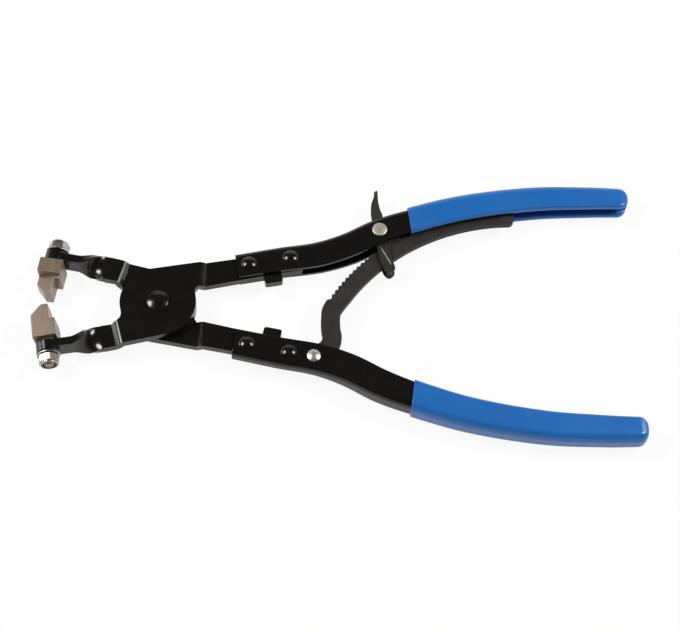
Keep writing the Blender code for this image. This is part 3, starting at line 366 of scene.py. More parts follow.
def soften(obj, width=SOFT_EDGE, steps=EDGE_STEPS):
    edges = obj.modifiers.new("edges", "BEVEL")
    edges.width = width
    edges.segments = steps
    edges.limit_method = "ANGLE"
    edges.angle_limit = EDGE_ANGLE
    return obj


def joined(meshes):
    """One mesh out of several that lie in place."""
    bm = bmesh.new()
    for mesh in meshes:
        bm.from_mesh(mesh)
    whole = bpy.data.meshes.new("joined")
    bm.to_mesh(whole)
    bm.free()
    return whole


def piece(name, meshes, place, finish, body, nodes, smooth_angle=SMOOTH_ANGLE):
    """Stand a finished piece in the frame in place of the nodes that it shows."""
    mesh = joined(meshes)
    mesh.transform(place)
    mesh.shade_smooth()
    mesh.set_sharp_from_angle(angle=smooth_angle)
    mesh.materials.append(finish)
    flat = loose_object(name, mesh)
    even = flat.modifiers.new("even_light", "WEIGHTED_NORMAL")
    even.keep_sharp = True
    shown = settle(flat)
    shown.name = name
    obj = loose_object(name, shown)
    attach(obj, body)
    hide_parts(*nodes)
    return obj


def heading(angle):
    return Vector((math.cos(angle), math.sin(angle)))


def left_of(way):
    """A flat direction turned a quarter to its left."""
    return Vector((-way.y, way.x))


def sharp(points):
    """Outline points as corners without a radius."""
    return [(*spot, 0.0) for spot in points]


def arc_points(centre, radius, start, end, steps=ARC_STEPS):
    angles = [start + (end - start) * i / steps for i in range(steps + 1)]
    return [(centre[0] + radius * math.cos(a), centre[1] + radius * math.sin(a)) for a in angles]


def rounded(corners, steps=ARC_STEPS):
    """Round each corner (x, y, radius) of a closed outline."""
    points = []
    for i, (x, y, radius) in enumerate(corners):
        here = Vector((x, y))
        if radius == 0.0:
            points.append((x, y))
            continue
        back = Vector(corners[i - 1][:2]) - here
        ahead = Vector(corners[(i + 1) % len(corners)][:2]) - here
        half = back.angle(ahead) / 2
        reach = min(radius / math.tan(half), back.length / 2, ahead.length / 2)
        bend = reach * math.tan(half)
        centre = here + (back.normalized() + ahead.normalized()).normalized() * bend / math.sin(half)
        first = here + back.normalized() * reach - centre
        last = here + ahead.normalized() * reach - centre
        turn = first.angle_signed(last)
        for k in range(steps + 1):
            spoke = first.copy()
            spoke.rotate(Matrix.Rotation(-turn * k / steps, 2))
            points.append(tuple(centre + spoke))
    return points


def divided(points, steps):
    """A closed outline with each side longer than a millimetre cut into steps."""
    cut_up = []
    for here, after in zip(points, points[1:] + points[:1]):
        start, end = Vector(here), Vector(after)
        count = steps if (end - start).length > MM else 1
        cut_up += [tuple(start.lerp(end, k / count)) for k in range(count)]
    return cut_up


def smooth_loop(shares, size):
    """A closed smooth curve through points given as shares of a size."""
    spots = [Vector((x * size, y * size)) for x, y in shares]
    loop = []
    for i in range(len(spots)):
        stretch = [spots[(i + k) % len(spots)] for k in (-1, 0, 1, 2)]
        loop += [spline_point(*stretch, k / LOOP_STEPS) for k in range(LOOP_STEPS)]
    return loop


def spline_point(p0, p1, p2, p3, t):
    """Place at t between the middle two of four points on a smooth curve."""
    ahead = (p2 - p0) / 2
    behind = (p3 - p1) / 2
    return (
        p1 * (1 + 2 * t) * (1 - t) ** 2 + ahead * t * (1 - t) ** 2
        + p2 * t * t * (3 - 2 * t) + behind * t * t * (t - 1)
    )


def slab(points, low, high):
    """A flat outline in X and Y made solid between two heights."""
    bm = bmesh.new()
    face = bm.faces.new([bm.verts.new((x, y, low)) for x, y in points])
    lifted = bmesh.ops.extrude_face_region(bm, geom=[face])
    verts = [item for item in lifted["geom"] if isinstance(item, bmesh.types.BMVert)]
    bmesh.ops.translate(bm, verts=verts, vec=(0.0, 0.0, high - low))
    return mesh_from(bm, "slab")


def soft_slab(points, low, high, edge=SOFT_EDGE, steps=EDGE_STEPS):
    return settle(soften(loose_object("slab", slab(points, low, high)), edge, steps))


def blanked_slab(points, low, high, edge, steps=2):
    """A slab with only the rims of its two faces softened, so its outline stays crisp."""
    bm = bmesh.new()
    bm.from_mesh(slab(points, low, high))
    rims = [e for e in bm.edges if abs(e.verts[0].co.z - e.verts[1].co.z) < MERGE]
    bmesh.ops.bevel(bm, geom=rims, offset=edge, segments=steps, profile=0.5, affect="EDGES",
                    clamp_overlap=False)
    return mesh_from(bm, "blank")


def turned(profile, steps=ROUND_STEPS, ring=False):
    """Turn a profile of radius and height about Z."""
    bm = bmesh.new()
    spots = [bm.verts.new((radius, 0.0, height)) for radius, height in profile]
    edges = [bm.edges.new(pair) for pair in zip(spots, spots[1:])]
    if ring:
        edges.append(bm.edges.new((spots[-1], spots[0])))
    bmesh.ops.spin(bm, geom=spots + edges, cent=(0, 0, 0), axis=(0, 0, 1), angle=math.tau, steps=steps,
                   use_merge=True)
    bmesh.ops.remove_doubles(bm, verts=bm.verts, dist=MERGE)
    return mesh_from(bm, "turned")


def rod(radius, low, high, steps=ROUND_STEPS):
    return turned([(0.0, low), (radius, low), (radius, high), (0.0, high)], steps)


def chamfered_rod(radius, low, high, chamfer):
    """A round rod along Z with its low end chamfered."""
    end = [(0.0, low), (radius - chamfer, low), (radius, low + chamfer)]
    return turned(end + [(radius, high), (0.0, high)])


def ring_mesh(inner, outer, thickness, chamfer):
    """A flat ring on z = 0 with its outer edges chamfered."""
    return turned([
        (inner, 0.0), (outer - chamfer, 0.0), (outer, chamfer), (outer, thickness - chamfer),
        (outer - chamfer, thickness), (inner, thickness),
    ], ring=True)


def box_mesh(low, high):
    corners = [(low[0], low[1]), (high[0], low[1]), (high[0], high[1]), (low[0], high[1])]
    return slab(corners, low[2], high[2])


def skin(rings, closed=True):
    """Skin rings of equal length: a capped solid when closed, else an open sheet."""
    bm = bmesh.new()
    rows = [[bm.verts.new(spot) for spot in ring] for ring in rings]
    count = len(rings[0])
    for row, after in zip(rows, rows[1:]):
        for i in range(count if closed else count - 1):
            j = (i + 1) % count
            bm.faces.new((row[i], row[j], after[j], after[i]))
    if closed:
        bm.faces.new(rows[0][::-1])
        bm.faces.new(rows[-1])
        return mesh_from(bm, "skin")
    mesh = bpy.data.meshes.new("skin")
    bm.to_mesh(mesh)
    bm.free()
    return mesh


def moved(mesh, *steps):
    for step in steps:
        mesh.transform(step)
    return mesh


def table_value(table, share):
    """Height at a share of the run, on a smooth curve through a table of pairs."""
    last = len(table) - 2
    index = next((i for i in range(last) if share < table[i + 1][0]), last)
    (x0, y0), (x1, y1) = table[index], table[index + 1]
    before = table[max(index - 1, 0)]
    after = table[min(index + 2, last + 1)]
    slope0 = (y1 - before[1]) / (x1 - before[0])
    slope1 = (after[1] - y0) / (after[0] - x0)
    run = x1 - x0
    t = (share - x0) / run
    start = (1 + 2 * t) * (1 - t) ** 2 * y0 + t * (1 - t) ** 2 * run * slope0
    return start + t * t * (3 - 2 * t) * y1 + t * t * (t - 1) * run * slope1


def ease(share):
    """Slow start and slow end between 0 and 1."""
    share = min(max(share, 0.0), 1.0)
    return share * share * (3 - 2 * share)


# Line and sections of the handles

def handle_frame(share):
    """Place on the handle's middle line, and the direction out of the tool there."""
    here = table_value(HANDLE_LINE_SHARES, share)
    ahead = table_value(HANDLE_LINE_SHARES, share + LINE_STEP_SHARE)
    along = Vector((HANDLE_RUN * LINE_STEP_SHARE, HANDLE_RISE * (ahead - here))).normalized()
    spot = Vector((HANDLE_X + HANDLE_RUN * share, HANDLE_Y + HANDLE_RISE * here))
    return spot, left_of(along)


def handle_point(share, offset=0.0):
    spot, outward = handle_frame(share)
    return spot + outward * offset


def channel_height(share):
    return CHANNEL_HEIGHT * table_value(CHANNEL_HEIGHT_SHARES, share)


def channel_width(share):
    wide = ease((share - WIDEN_FROM_SHARE) / (WIDEN_TO_SHARE - WIDEN_FROM_SHARE))
    taper = ease((share - WIDEN_TO_SHARE) / (CHANNEL_END_SHARE - WIDEN_TO_SHARE))
    return CHANNEL_FRONT_WIDTH + (CHANNEL_GRIP_WIDTH - CHANNEL_FRONT_WIDTH) * wide - CHANNEL_TAPER * taper


def on_handle(share, section, extra=0.0, slant=0.0):
    """Set section points (across, outward) at a place along the handle."""
    spot, outward = handle_frame(share)
    along = -left_of(outward)
    places = []
    for across, out in section:
        flat = spot + outward * out + along * (extra + slant * out)
        places.append(Vector((flat.x, flat.y, across)))
    return places


def channel_skin(share):
    """Outer face of the channel's U, open at the bottom."""
    side = channel_width(share) / 2
    top = channel_height(share) / 2
    corner = CHANNEL_CORNER
    right = arc_points((side - corner, top - corner), corner, 0.0, math.pi / 2)
    left = arc_points((corner - side, top - corner), corner, math.pi / 2, math.pi)
    return [(side, -top)] + right + left + [(-side, -top)]


def sleeve_section(share, grow, pinch=0.0, squeeze=0.0):
    """Closed U over the channel's wall, thicker by grow, drawn in by pinch across and squeeze in height."""
    side = channel_width(share) / 2 + grow - pinch
    top = channel_height(share) / 2 + grow - squeeze
    corner = CHANNEL_CORNER + grow - pinch
    inner = channel_width(share) / 2 - CHANNEL_WALL - grow
    roof = channel_height(share) / 2 - CHANNEL_WALL - grow - squeeze
    bend = max(CHANNEL_CORNER - CHANNEL_WALL - grow, GRIP_LEAST_BEND)
    edge = (side - inner) / 2
    lip = (side + inner) / 2
    half = math.pi / 2
    right_lip = arc_points((lip, edge - top), edge, -math.pi, 0.0)
    right = arc_points((side - corner, top - corner), corner, 0.0, half)
    left = arc_points((corner - side, top - corner), corner, half, math.pi)
    left_lip = arc_points((-lip, edge - top), edge, math.pi, math.tau)
    inner_left = arc_points((bend - inner, roof - bend), bend, math.pi, half)
    inner_right = arc_points((inner - bend, roof - bend), bend, half, 0.0)
    return right_lip + right + left + left_lip + inner_left + inner_right


# Plates

def plate_outline():
    """The flat plate: handle arm with its stop tab, pivot disc and the start of the jaw arm."""
    outer_edge = []
    for i in range(ARM_STEPS + 1):
        share = ARM_END_SHARE * i / ARM_STEPS
        outer_edge.append(handle_point(share, channel_height(share) / 2 - CHANNEL_WALL - ARM_INSET))
    near, far = TAB_SHARES
    tab = [
        (inner_edge(far), 0.0),
        (handle_point(far, -channel_height(far) / 2 - TAB_REACH), TAB_CORNER),
        (handle_point(near, -channel_height(near) / 2 - TAB_REACH), TAB_CORNER),
        (inner_edge(near), 0.0),
    ]
    twist = Vector(TWIST_FROM)
    ahead = (Vector(TWIST_TO) - twist).normalized()
    side = -left_of(ahead)
    jaw_outer = twist - side * ARM_WIDTH / 2
    jaw_inner = twist + side * ARM_WIDTH / 2
    handle_touch = tangent_angle(outer_edge[0])
    jaw_touch = tangent_angle(jaw_outer)
    right_fillet, right_start = root_fillet(inner_edge(0.0), HANDLE_ROOT_ANGLE, HANDLE_ROOT_FILLET)
    left_fillet, left_start = root_fillet(jaw_inner, JAW_ROOT_ANGLE, JAW_ROOT_FILLET)
    right_arc = arc_points((0.0, 0.0), DISC_R, right_start, jaw_touch, DISC_STEPS)
    left_arc = arc_points((0.0, 0.0), DISC_R, left_start, handle_touch, DISC_STEPS)
    corners = sharp(outer_edge[:-1])
    corners += [(*outer_edge[-1], ARM_CORNER), (*inner_edge(ARM_END_SHARE), ARM_CORNER)]
    corners += [(*spot, radius) for spot, radius in tab]
    corners += sharp([inner_edge(0.0)] + right_fillet + right_arc[1:])
    corners += sharp([jaw_outer, jaw_inner] + left_fillet + left_arc[1:])
    return rounded(corners)


def inner_edge(share):
    """Inner edge of the handle arm, proud of the channel's mouth at the front."""
    proud = ARM_PROUD * (1.0 - share / ARM_END_SHARE)
    return handle_point(share, -channel_height(share) / 2 - proud)


def tangent_angle(spot):
    """Angle on the disc where a line from the spot touches it."""
    return math.atan2(spot.y, spot.x) + math.acos(DISC_R / spot.length)


def least_turn(first, last):
    """Shortest turn from one angle to another."""
    return (last - first + math.pi) % math.tau - math.pi


def root_fillet(spot, angle, radius):
    """Arc from an arm's inner edge, aimed at an angle of the disc, and where it meets the disc."""
    along = (heading(angle) * DISC_R - spot).normalized()
    away = left_of(along)
    if away.dot(spot) > 0.0:
        away.negate()
    offset = spot + away * radius
    aim = offset.dot(along)
    centre = offset + along * (-aim - math.sqrt(aim ** 2 - offset.length_squared + (DISC_R + radius) ** 2))
    first = math.atan2(-away.y, -away.x)
    curl = least_turn(first, math.atan2(-centre.y, -centre.x))
    touch = angle + least_turn(angle, math.atan2(centre.y, centre.x))
    return arc_points(centre, radius, first, first + curl), touch


def joggle_sides():
    """Direction away from the disc and start of the joggle, for the handle arm and the jaw arm."""
    jaw = Vector((-math.cos(JOGGLE_LEAN), -math.sin(JOGGLE_LEAN), 0.0))
    return [(Vector((1.0, 0.0, 0.0)), DISC_R + JOGGLE_CLEAR), (jaw, DISC_R + JAW_JOGGLE_CLEAR)]


def joggle_height(spot):
    """Height of the plate's middle: lifted at the disc, level past the bend."""
    lift = (PLATE_T + PLATE_GAP) / 2
    past = max(spot.dot(away) - start for away, start in joggle_sides())
    share = min(max(past / JOGGLE_RUN, 0.0), 1.0)
    bend = JOGGLE_BEND_SHARE
    peak = 1 / (1 - bend)
    if share < bend:
        return lift * (1 - peak * share * share / (2 * bend))
    if share > 1 - bend:
        return lift * peak * (1 - share) ** 2 / (2 * bend)
    return lift * (1 - peak * (share - bend / 2))


def plate_meshes():
    """A pressed plate with a round-bent joggle, its twisted strip and its boss."""
    bm = bmesh.new()
    bm.faces.new([bm.verts.new((x, y, 0.0)) for x, y in plate_outline()])
    for away, start in joggle_sides():
        for i in range(BEND_CUTS + 1):
            reach = start + JOGGLE_RUN * i / BEND_CUTS
            sheet = bm.verts[:] + bm.edges[:] + bm.faces[:]
            bmesh.ops.bisect_plane(bm, geom=sheet, plane_co=away * reach, plane_no=away, dist=MERGE)
    for vert in bm.verts:
        vert.co.z = joggle_height(vert.co)
    sheet = loose_object("plate", mesh_from(bm, "plate"))
    wall = sheet.modifiers.new("wall", "SOLIDIFY")
    wall.thickness = PLATE_T
    wall.offset = 0.0
    sheet = loose_object("plate", settle(sheet))
    sheet = cut(sheet, rod(PIVOT_RIVET["shank"] + PIVOT_CLEAR, -CUT_REACH, CUT_REACH))
    plate = settle(soften(sheet))
    strip = loose_object("strip", strip_mesh())
    bore = moved(along_stud(rod(STUD_R + STUD_CLEAR, -CUT_REACH, CUT_REACH)), jaw_place())
    strip = settle(cut(strip, bore))
    boss = ring_mesh(STUD_R + STUD_CLEAR, BOSS_R, BOSS_HEIGHT, BOSS_CHAMFER)
    boss = moved(boss, Matrix.Translation((0.0, 0.0, STRIP_T / 2 - BOSS_HEIGHT)))
    return [plate, strip, moved(along_stud(boss), jaw_place())]


def jaw_place():
    return Matrix.Translation((*BOSS, 0.0)) @ Matrix.Rotation(JAW_LEAN, 4, "Z")


def along_stud(mesh):
    """Turn a mesh made along Z to lie along the jaw frame's Y."""
    return moved(mesh, Matrix.Rotation(-math.pi / 2, 4, "X"))


def strip_mesh():
    """The strip with its quarter turn, a round-cornered section skinned along the arm."""
    start, end, boss = Vector(TWIST_FROM), Vector(TWIST_TO), Vector(BOSS)
    ahead = (end - start).normalized()
    path = [(start - ahead * STRIP_OVERLAP, 0.0)]
    path += [(start.lerp(end, i / TWIST_STEPS), ease(i / TWIST_STEPS)) for i in range(TWIST_STEPS + 1)]
    path += [(end.lerp(boss, share), 1.0) for share in STRIP_END_SHARES]
    rings = []
    for i, (spot, twist) in enumerate(path):
        along = (path[min(i + 1, len(path) - 1)][0] - path[max(i - 1, 0)][0]).normalized()
        side = Vector((along.y, -along.x, 0.0))
        up = Vector((0.0, 0.0, 1.0))
        angle = twist * math.pi / 2
        wide = side * math.cos(angle) + up * math.sin(angle)
        thin = up * math.cos(angle) - side * math.sin(angle)
        half_w = (ARM_WIDTH + (STRIP_WIDTH - ARM_WIDTH) * twist) / 2 - STRIP_SHRINK
        half_t = (PLATE_T + (STRIP_T - PLATE_T) * twist) / 2 - STRIP_SHRINK
        corner = SOFT_EDGE + (STRIP_CORNER - SOFT_EDGE) * twist
        signs = ((1, 1), (-1, 1), (-1, -1), (1, -1))
        section = rounded([(half_w * u, half_t * v, corner) for u, v in signs], STRIP_CORNER_STEPS)
        section = divided(section, STRIP_SIDE_STEPS)
        centre = Vector((spot.x, spot.y, 0.0))
        rings.append([centre + wide * w + thin * t for w, t in section])
    return skin(rings)


# Handles and grips

def channel_mesh(slotted):
    """A pressed U along the handle, slotted in its back for the lever's horn."""
    shares = [CHANNEL_END_SHARE * i / HANDLE_STEPS for i in range(HANDLE_STEPS + 1)]
    sheet = skin([on_handle(share, channel_skin(share)) for share in shares], closed=False)
    channel = loose_object("channel", sheet)
    wall = channel.modifiers.new("wall", "SOLIDIFY")
    wall.thickness = CHANNEL_WALL
    wall.offset = 1.0
    wall.use_even_offset = True
    channel = loose_object("channel", settle(channel))
    if slotted:
        (near, far), side = SLOT, HORN_T / 2 + SLOT_CLEAR
        corners = [(near, -side, side), (far, -side, side), (far, side, side), (near, side, side)]
        slot = along_stud(slab(rounded(corners), WEB[1][1] - CHANNEL_WALL, WEB[1][1] + SLOT_CUT))
        channel = cut(channel, moved(slot, pawl_turn(), pawl_place()))
    return settle(soften(channel))


def grip_mesh():
    """A dipped coat over the channel with a rounded closed end."""
    span = CHANNEL_END_SHARE - GRIP_FROM_SHARE
    steps = HANDLE_STEPS // 2
    shares = [GRIP_FROM_SHARE + span * i / steps for i in range(steps + 1)]
    lean = math.tan(GRIP_SLANT)
    rings = []
    for i in range(GRIP_RIM_STEPS):
        angle = math.pi / 2 * i / GRIP_RIM_STEPS
        inset = GRIP_RIM * (1 - math.sin(angle))
        section = sleeve_section(shares[0], GRIP_COAT - inset)
        rings.append(on_handle(shares[0], section, GRIP_RIM * (1 - math.cos(angle)), lean))
    for i, share in enumerate(shares[1:], 1):
        slant = lean * max(0.0, 1 - i / GRIP_SLANT_STEPS)
        rings.append(on_handle(share, sleeve_section(share, GRIP_COAT), slant=slant))
    end = CHANNEL_END_SHARE
    for i in range(1, GRIP_TIP_STEPS + 1):
        angle = math.pi / 2 * i / GRIP_TIP_STEPS
        closing = 1 - math.cos(angle)
        section = sleeve_section(end, GRIP_COAT, GRIP_TIP_PINCH * closing, GRIP_TIP_ROUND * closing)
        rings.append(on_handle(end, section, GRIP_TIP * math.sin(angle)))
    return skin(rings)


# Ratchet bar

def bar_spot():
    """Place of the bar's rivet on the lower handle."""
    spot = handle_point(BAR_PIVOT_SHARE, BAR_PIVOT_OFFSET)
    return Vector((spot.x, -spot.y))


def bar_centre():
    """Centre of the bar's arc, which passes under the lever's rivet."""
    return pawl_spot() - heading(BAR_CROSS_ANGLE) * (BAR_ARC_R + BAR_WIDTH / 2 + BAR_CROSS_DEPTH)


def bar_end_angle():
    return BAR_CROSS_ANGLE - BAR_END_RUN / BAR_ARC_R


def bar_arc(radius, steps):
    """The bar's arc at a radius, from its foot to its end."""
    start = BAR_CROSS_ANGLE + BAR_FOOT_RUN / BAR_ARC_R
    return arc_points(bar_centre(), radius, start, bar_end_angle(), steps)


def tooth_angle():
    """Angle on the bar's arc of the gullet under the lever's tooth."""
    return BAR_CROSS_ANGLE - PAWL_TOOTH_AHEAD / (BAR_ARC_R + BAR_WIDTH / 2)


def bar_foot():
    """Middle line of the bar's hooked foot, and the first stretch of its arc."""
    arc = [Vector(spot) for spot in bar_arc(BAR_ARC_R, BAR_START_STEPS)]
    pivot = bar_spot()
    span = arc[0] - pivot
    knots = [pivot] + [pivot + Vector((span.x * u, span.y * v)) for u, v in BAR_FOOT_SHARES] + arc[:2]
    foot = []
    for i in range(len(knots) - 2):
        stretch = (knots[max(i - 1, 0)], *knots[i:i + 3])
        foot += [spline_point(*stretch, k / ARC_STEPS) for k in range(ARC_STEPS)]
    return foot, arc


def offset_points(points, offset):
    """A line beside the given one, to its left where the offset is above zero."""
    offset_line = []
    for i, spot in enumerate(points):
        along = (points[min(i + 1, len(points) - 1)] - points[max(i - 1, 0)]).normalized()
        offset_line.append(spot + left_of(along) * offset)
    return offset_line


def toothed_edge():
    """Saw teeth from the foot to the lever's tooth, then a relieved edge to the bar's end."""
    centre = bar_centre()
    crest = BAR_ARC_R + BAR_WIDTH / 2
    root = crest - TOOTH_DEPTH
    pitch = TOOTH_PITCH / crest
    gullet = tooth_angle()
    corners = []
    for i in range(TOOTH_COUNT, -1, -1):
        low = gullet + pitch * i
        corners.append(centre + heading(low) * root)
        if i:
            corners.append(centre + heading(low - pitch * TOOTH_RAKE_SHARE) * crest)
    end = bar_end_angle()
    return corners + arc_points(centre, crest - BAR_RELIEF, gullet - 2 * pitch, end, BAR_RUN_STEPS)


def bar_outline():
    """The bar from its hooked foot along the teeth to its end, and back."""
    foot, arc = bar_foot()
    half = BAR_WIDTH / 2
    centre, place = bar_centre(), bar_spot()
    last_gullet = tooth_angle() + TOOTH_COUNT * TOOTH_PITCH / (BAR_ARC_R + half)
    clear_angle = last_gullet + TOOTH_PITCH / 2 / BAR_ARC_R
    upper_foot = []
    for spot in offset_points(foot + arc[:2], half):
        out = spot - centre
        if spot.y < 0.0 or math.atan2(out.y, out.x) > clear_angle:
            upper_foot.append(spot)
    lower = offset_points(foot, -half)
    far_arc = bar_arc(BAR_ARC_R - half, BAR_BACK_STEPS)
    heel_start = math.atan2(upper_foot[0].y - place.y, upper_foot[0].x - place.x)
    heel = arc_points(place, half, heel_start, heel_start + math.pi, BAR_RUN_STEPS)
    teeth = toothed_edge()
    saw = 2 * TOOTH_COUNT + 1
    corners = sharp(upper_foot)
    corners += [(*spot, TOOTH_ROUND if i < saw else 0.0) for i, spot in enumerate(teeth[:-1])]
    corners += [(*teeth[-1], BAR_TOP_CORNER), (*far_arc[-1], BAR_LOW_CORNER)]
    corners += sharp(far_arc[-1 - BAR_END_SKIP::-1] + lower[:0:-1] + heel[-1:0:-1])
    return rounded(corners, TOOTH_ROUND_STEPS)


def bar_mesh():
    """The blanked bar with the small hole near its end."""
    bar = loose_object("bar", blanked_slab(bar_outline(), -BAR_T / 2, BAR_T / 2, BAR_EDGE))
    hole = moved(rod(BAR_HOLE_R, -BAR_T, BAR_T), Matrix.Translation((*BAR_HOLE, 0.0)))
    return settle(cut(bar, hole))


# Release lever and its spring

def pawl_spot():
    """Place of the lever's rivet on the upper handle."""
    return handle_point(PAWL_SHARE, PAWL_OFFSET)


def pawl_place():
    return Matrix.Translation(pawl_spot().to_3d())


def pawl_turn():
    """Turn that lays the lever's own X along the handle."""
    outward = handle_frame(PAWL_SHARE)[1]
    return Matrix.Rotation(math.atan2(-outward.x, outward.y), 4, "Z")


def pawl_tooth_outline():
    """The lever's pointed tooth, over a gullet of the bar."""
    centre = bar_centre() - pawl_spot()
    out = heading(tooth_angle())
    back = left_of(out)
    tip = centre + out * (BAR_ARC_R + BAR_WIDTH / 2 + PAWL_TOOTH_CLEAR)
    top = tip + out * PAWL_TOOTH_HEIGHT
    half = PAWL_TOOTH_WIDTH / 2
    near, far = tip + back * half, tip - back * half
    return [tip, near + out * half, top + back * half, top - back * half, far + out * half]


def ridged_cheek(outline, low, high):
    """The front cheek, stepped down along a slanting ridge."""
    first, last = Vector(RIDGE[0]), Vector(RIDGE[1])
    aside = left_of((last - first).normalized()) * PAWL_TONGUE
    step = slab([first, last, last + aside, first + aside], high - RIDGE_DROP, 2 * high)
    cheek = cut(loose_object("cheek", slab(outline, low, high)), step)
    return settle(soften(cheek, RIDGE_EDGE))


def painted_highlight_edge_mesh():
    """A painted highlight: a bright plated sliver laid along the ridge, pointed at both ends."""
    first, last = Vector(RIDGE[0]), Vector(RIDGE[1])
    aside = left_of(first - last).normalized() * HIGHLIGHT_SLIVER_WIDTH / 2
    start, end = [first.lerp(last, share) for share in HIGHLIGHT_SLIVER_SHARES]
    near, far = start.lerp(end, HIGHLIGHT_SLIVER_TAPER_SHARE), start.lerp(end, 1 - HIGHLIGHT_SLIVER_TAPER_SHARE)
    outline = [start, near - aside, far - aside, end, far + aside, near + aside]
    top = PAWL_DEPTH / 2
    return slab(outline, top - RIDGE_DROP, top + HIGHLIGHT_SLIVER_PROUD)


def pawl_meshes():
    """The lever: two cheeks, the web and bridge between them, its horn and its tooth."""
    cheek = smooth_loop(CHEEK_SHARES, PAWL_TONGUE)
    horn = smooth_loop(HORN_SHARES, HORN_LENGTH)
    outer = PAWL_DEPTH / 2
    inner = outer - PAWL_CHEEK_T
    front = ridged_cheek(cheek, inner, outer)
    rear = soft_slab(cheek, -outer, -inner)
    web = moved(box_mesh((*WEB[0], -inner), (*WEB[1], inner)), pawl_turn())
    spine = soft_slab(horn, -HORN_T / 2, HORN_T / 2)
    bridge_spot = Vector((*BRIDGE_SHARES, 0.0)) * PAWL_TONGUE
    bridge = moved(rod(BRIDGE_R, -inner, inner), Matrix.Translation(bridge_spot))
    tooth = slab(pawl_tooth_outline(), -inner, inner)
    return [front, rear, web, spine, bridge, tooth]


def spring_mesh():
    """The coil beside the rivet with its two legs, one unbroken wire."""
    points = []
    for i in range(SPRING_STEPS + 1):
        turn = SPRING_TURNS * i / SPRING_STEPS
        angle = math.pi + math.tau * turn
        z = SPRING_PITCH * (turn - SPRING_TURNS / 2)
        points.append(Vector((SPRING_COIL_R * math.cos(angle), SPRING_COIL_R * math.sin(angle), z)))
    last = math.pi + math.tau * SPRING_TURNS
    trail = Vector((-math.sin(last), math.cos(last), 0.0))
    points.insert(0, points[0] + Vector((0.0, SPRING_PAWL_LEG, 0.0)))
    points.append(points[-1] + trail * SPRING_HANDLE_LEG)
    curve = bpy.data.curves.new("wire", "CURVE")
    curve.dimensions = "3D"
    curve.bevel_depth = SPRING_WIRE_R
    curve.bevel_resolution = WIRE_STEPS
    curve.use_fill_caps = True
    spline = curve.splines.new("POLY")
    spline.points.add(len(points) - 1)
    for spot, place in zip(spline.points, points):
        spot.co = (*place, 1.0)
    mesh = settle(loose_object("wire", curve))
    bm = bmesh.new()
    bm.from_mesh(mesh)
    bmesh.ops.remove_doubles(bm, verts=bm.verts, dist=MERGE)
    bm.to_mesh(mesh)
    bm.free()
    return moved(mesh, pawl_turn(), pawl_place())


# Jaw heads, washers, nuts and inserts

def jaw_frame(swivel):
    """Frame on the boss's head side, +Y along the stud towards the nose."""
    return jaw_place() @ Matrix.Translation((0.0, STRIP_T / 2, 0.0)) @ Matrix.Rotation(swivel, 4, "Y")


def head_meshes():
    """A stepped jaw head with its notch, its shoulder and its stud."""
    left = -HEAD_WIDTH / 2 - HEAD_SHIFT
    right = HEAD_WIDTH / 2 - HEAD_SHIFT
    wall = right - NOTCH_WIDTH
    outline = [
        (left, 0.0), (right, 0.0), (right, HEAD_FLOOR), (wall, HEAD_FLOOR), (wall, HEAD_HEIGHT),
        (wall - NOSE_TIP, HEAD_HEIGHT), (left, HEAD_SHOULDER),
    ]
    block = loose_object("head", slab(outline, -HEAD_DEPTH / 2, HEAD_DEPTH / 2))
    slope = NOSE_STEP_FAR / (wall - left)
    outer, inner = left - HEAD_WIDTH, right + HEAD_WIDTH
    wedge = [
        (outer, slope * HEAD_WIDTH), (inner, -slope * (inner - left)),
        (inner, -HEAD_DEPTH), (outer, -HEAD_DEPTH),
    ]
    step_base = HEAD_FLOOR - NOSE_STEP_DROP - HEAD_STANDOFF
    step = down_stud(slab(wedge, 0.0, HEAD_HEIGHT), -step_base - HEAD_HEIGHT)
    block = settle(soften(cut(block, step), HEAD_EDGE, HEAD_EDGE_STEPS))
    block = moved(block, Matrix.Translation((0.0, HEAD_STANDOFF, 0.0)))
    shoulder = along_stud(rod(SHOULDER_R, STACK_GAP, HEAD_STANDOFF + STACK_GAP))
    stud = along_stud(chamfered_rod(STUD_R, -STUD_DOWN, HEAD_STANDOFF, STUD_CHAMFER))
    return [block, shoulder, stud]


def down_stud(mesh, distance):
    """Hang a mesh turned about Z on the stud, its base away from the boss."""
    return moved(mesh, Matrix.Rotation(math.pi / 2, 4, "X"), Matrix.Translation((0.0, -distance, 0.0)))


def washer_mesh():
    return down_stud(ring_mesh(STUD_R + STUD_CLEAR, WASHER_R, WASHER_T, RING_CHAMFER), WASHER_DOWN)


def nut_meshes():
    """A hexagon with turned corners, and the round collar that holds the insert."""
    across = NUT_FLATS / 2 / math.cos(math.pi / 6)
    flats = NUT_FLATS / 2
    bore = STUD_R + STUD_CLEAR
    drop = (across - flats) * math.tan(NUT_CHAMFER_ANGLE)
    hexagon = loose_object("nut", rod(across, 0.0, NUT_T, 6))
    low_face = [(0.0, 0.0), (flats, 0.0), (across, drop)]
    high_face = [(across, NUT_T - drop), (flats, NUT_T), (0.0, NUT_T)]
    nut = cut(hexagon, turned(low_face + high_face), "INTERSECT")
    nut = settle(cut(nut, rod(bore, -CUT_REACH, CUT_REACH)))
    inner, outer, top = COLLAR_R - COLLAR_WALL, COLLAR_R, NUT_T + COLLAR_T
    bend = (outer - COLLAR_WALL, top - COLLAR_WALL)
    collar = [(bore, NUT_T / 2), (outer, NUT_T / 2)]
    collar += arc_points(bend, COLLAR_WALL, 0.0, math.pi / 2, COLLAR_STEPS)
    collar += [(inner, top - COLLAR_WALL / 4), (inner, NUT_T), (bore, NUT_T)]
    return [down_stud(nut, NUT_DOWN), down_stud(turned(collar, ring=True), NUT_DOWN)]


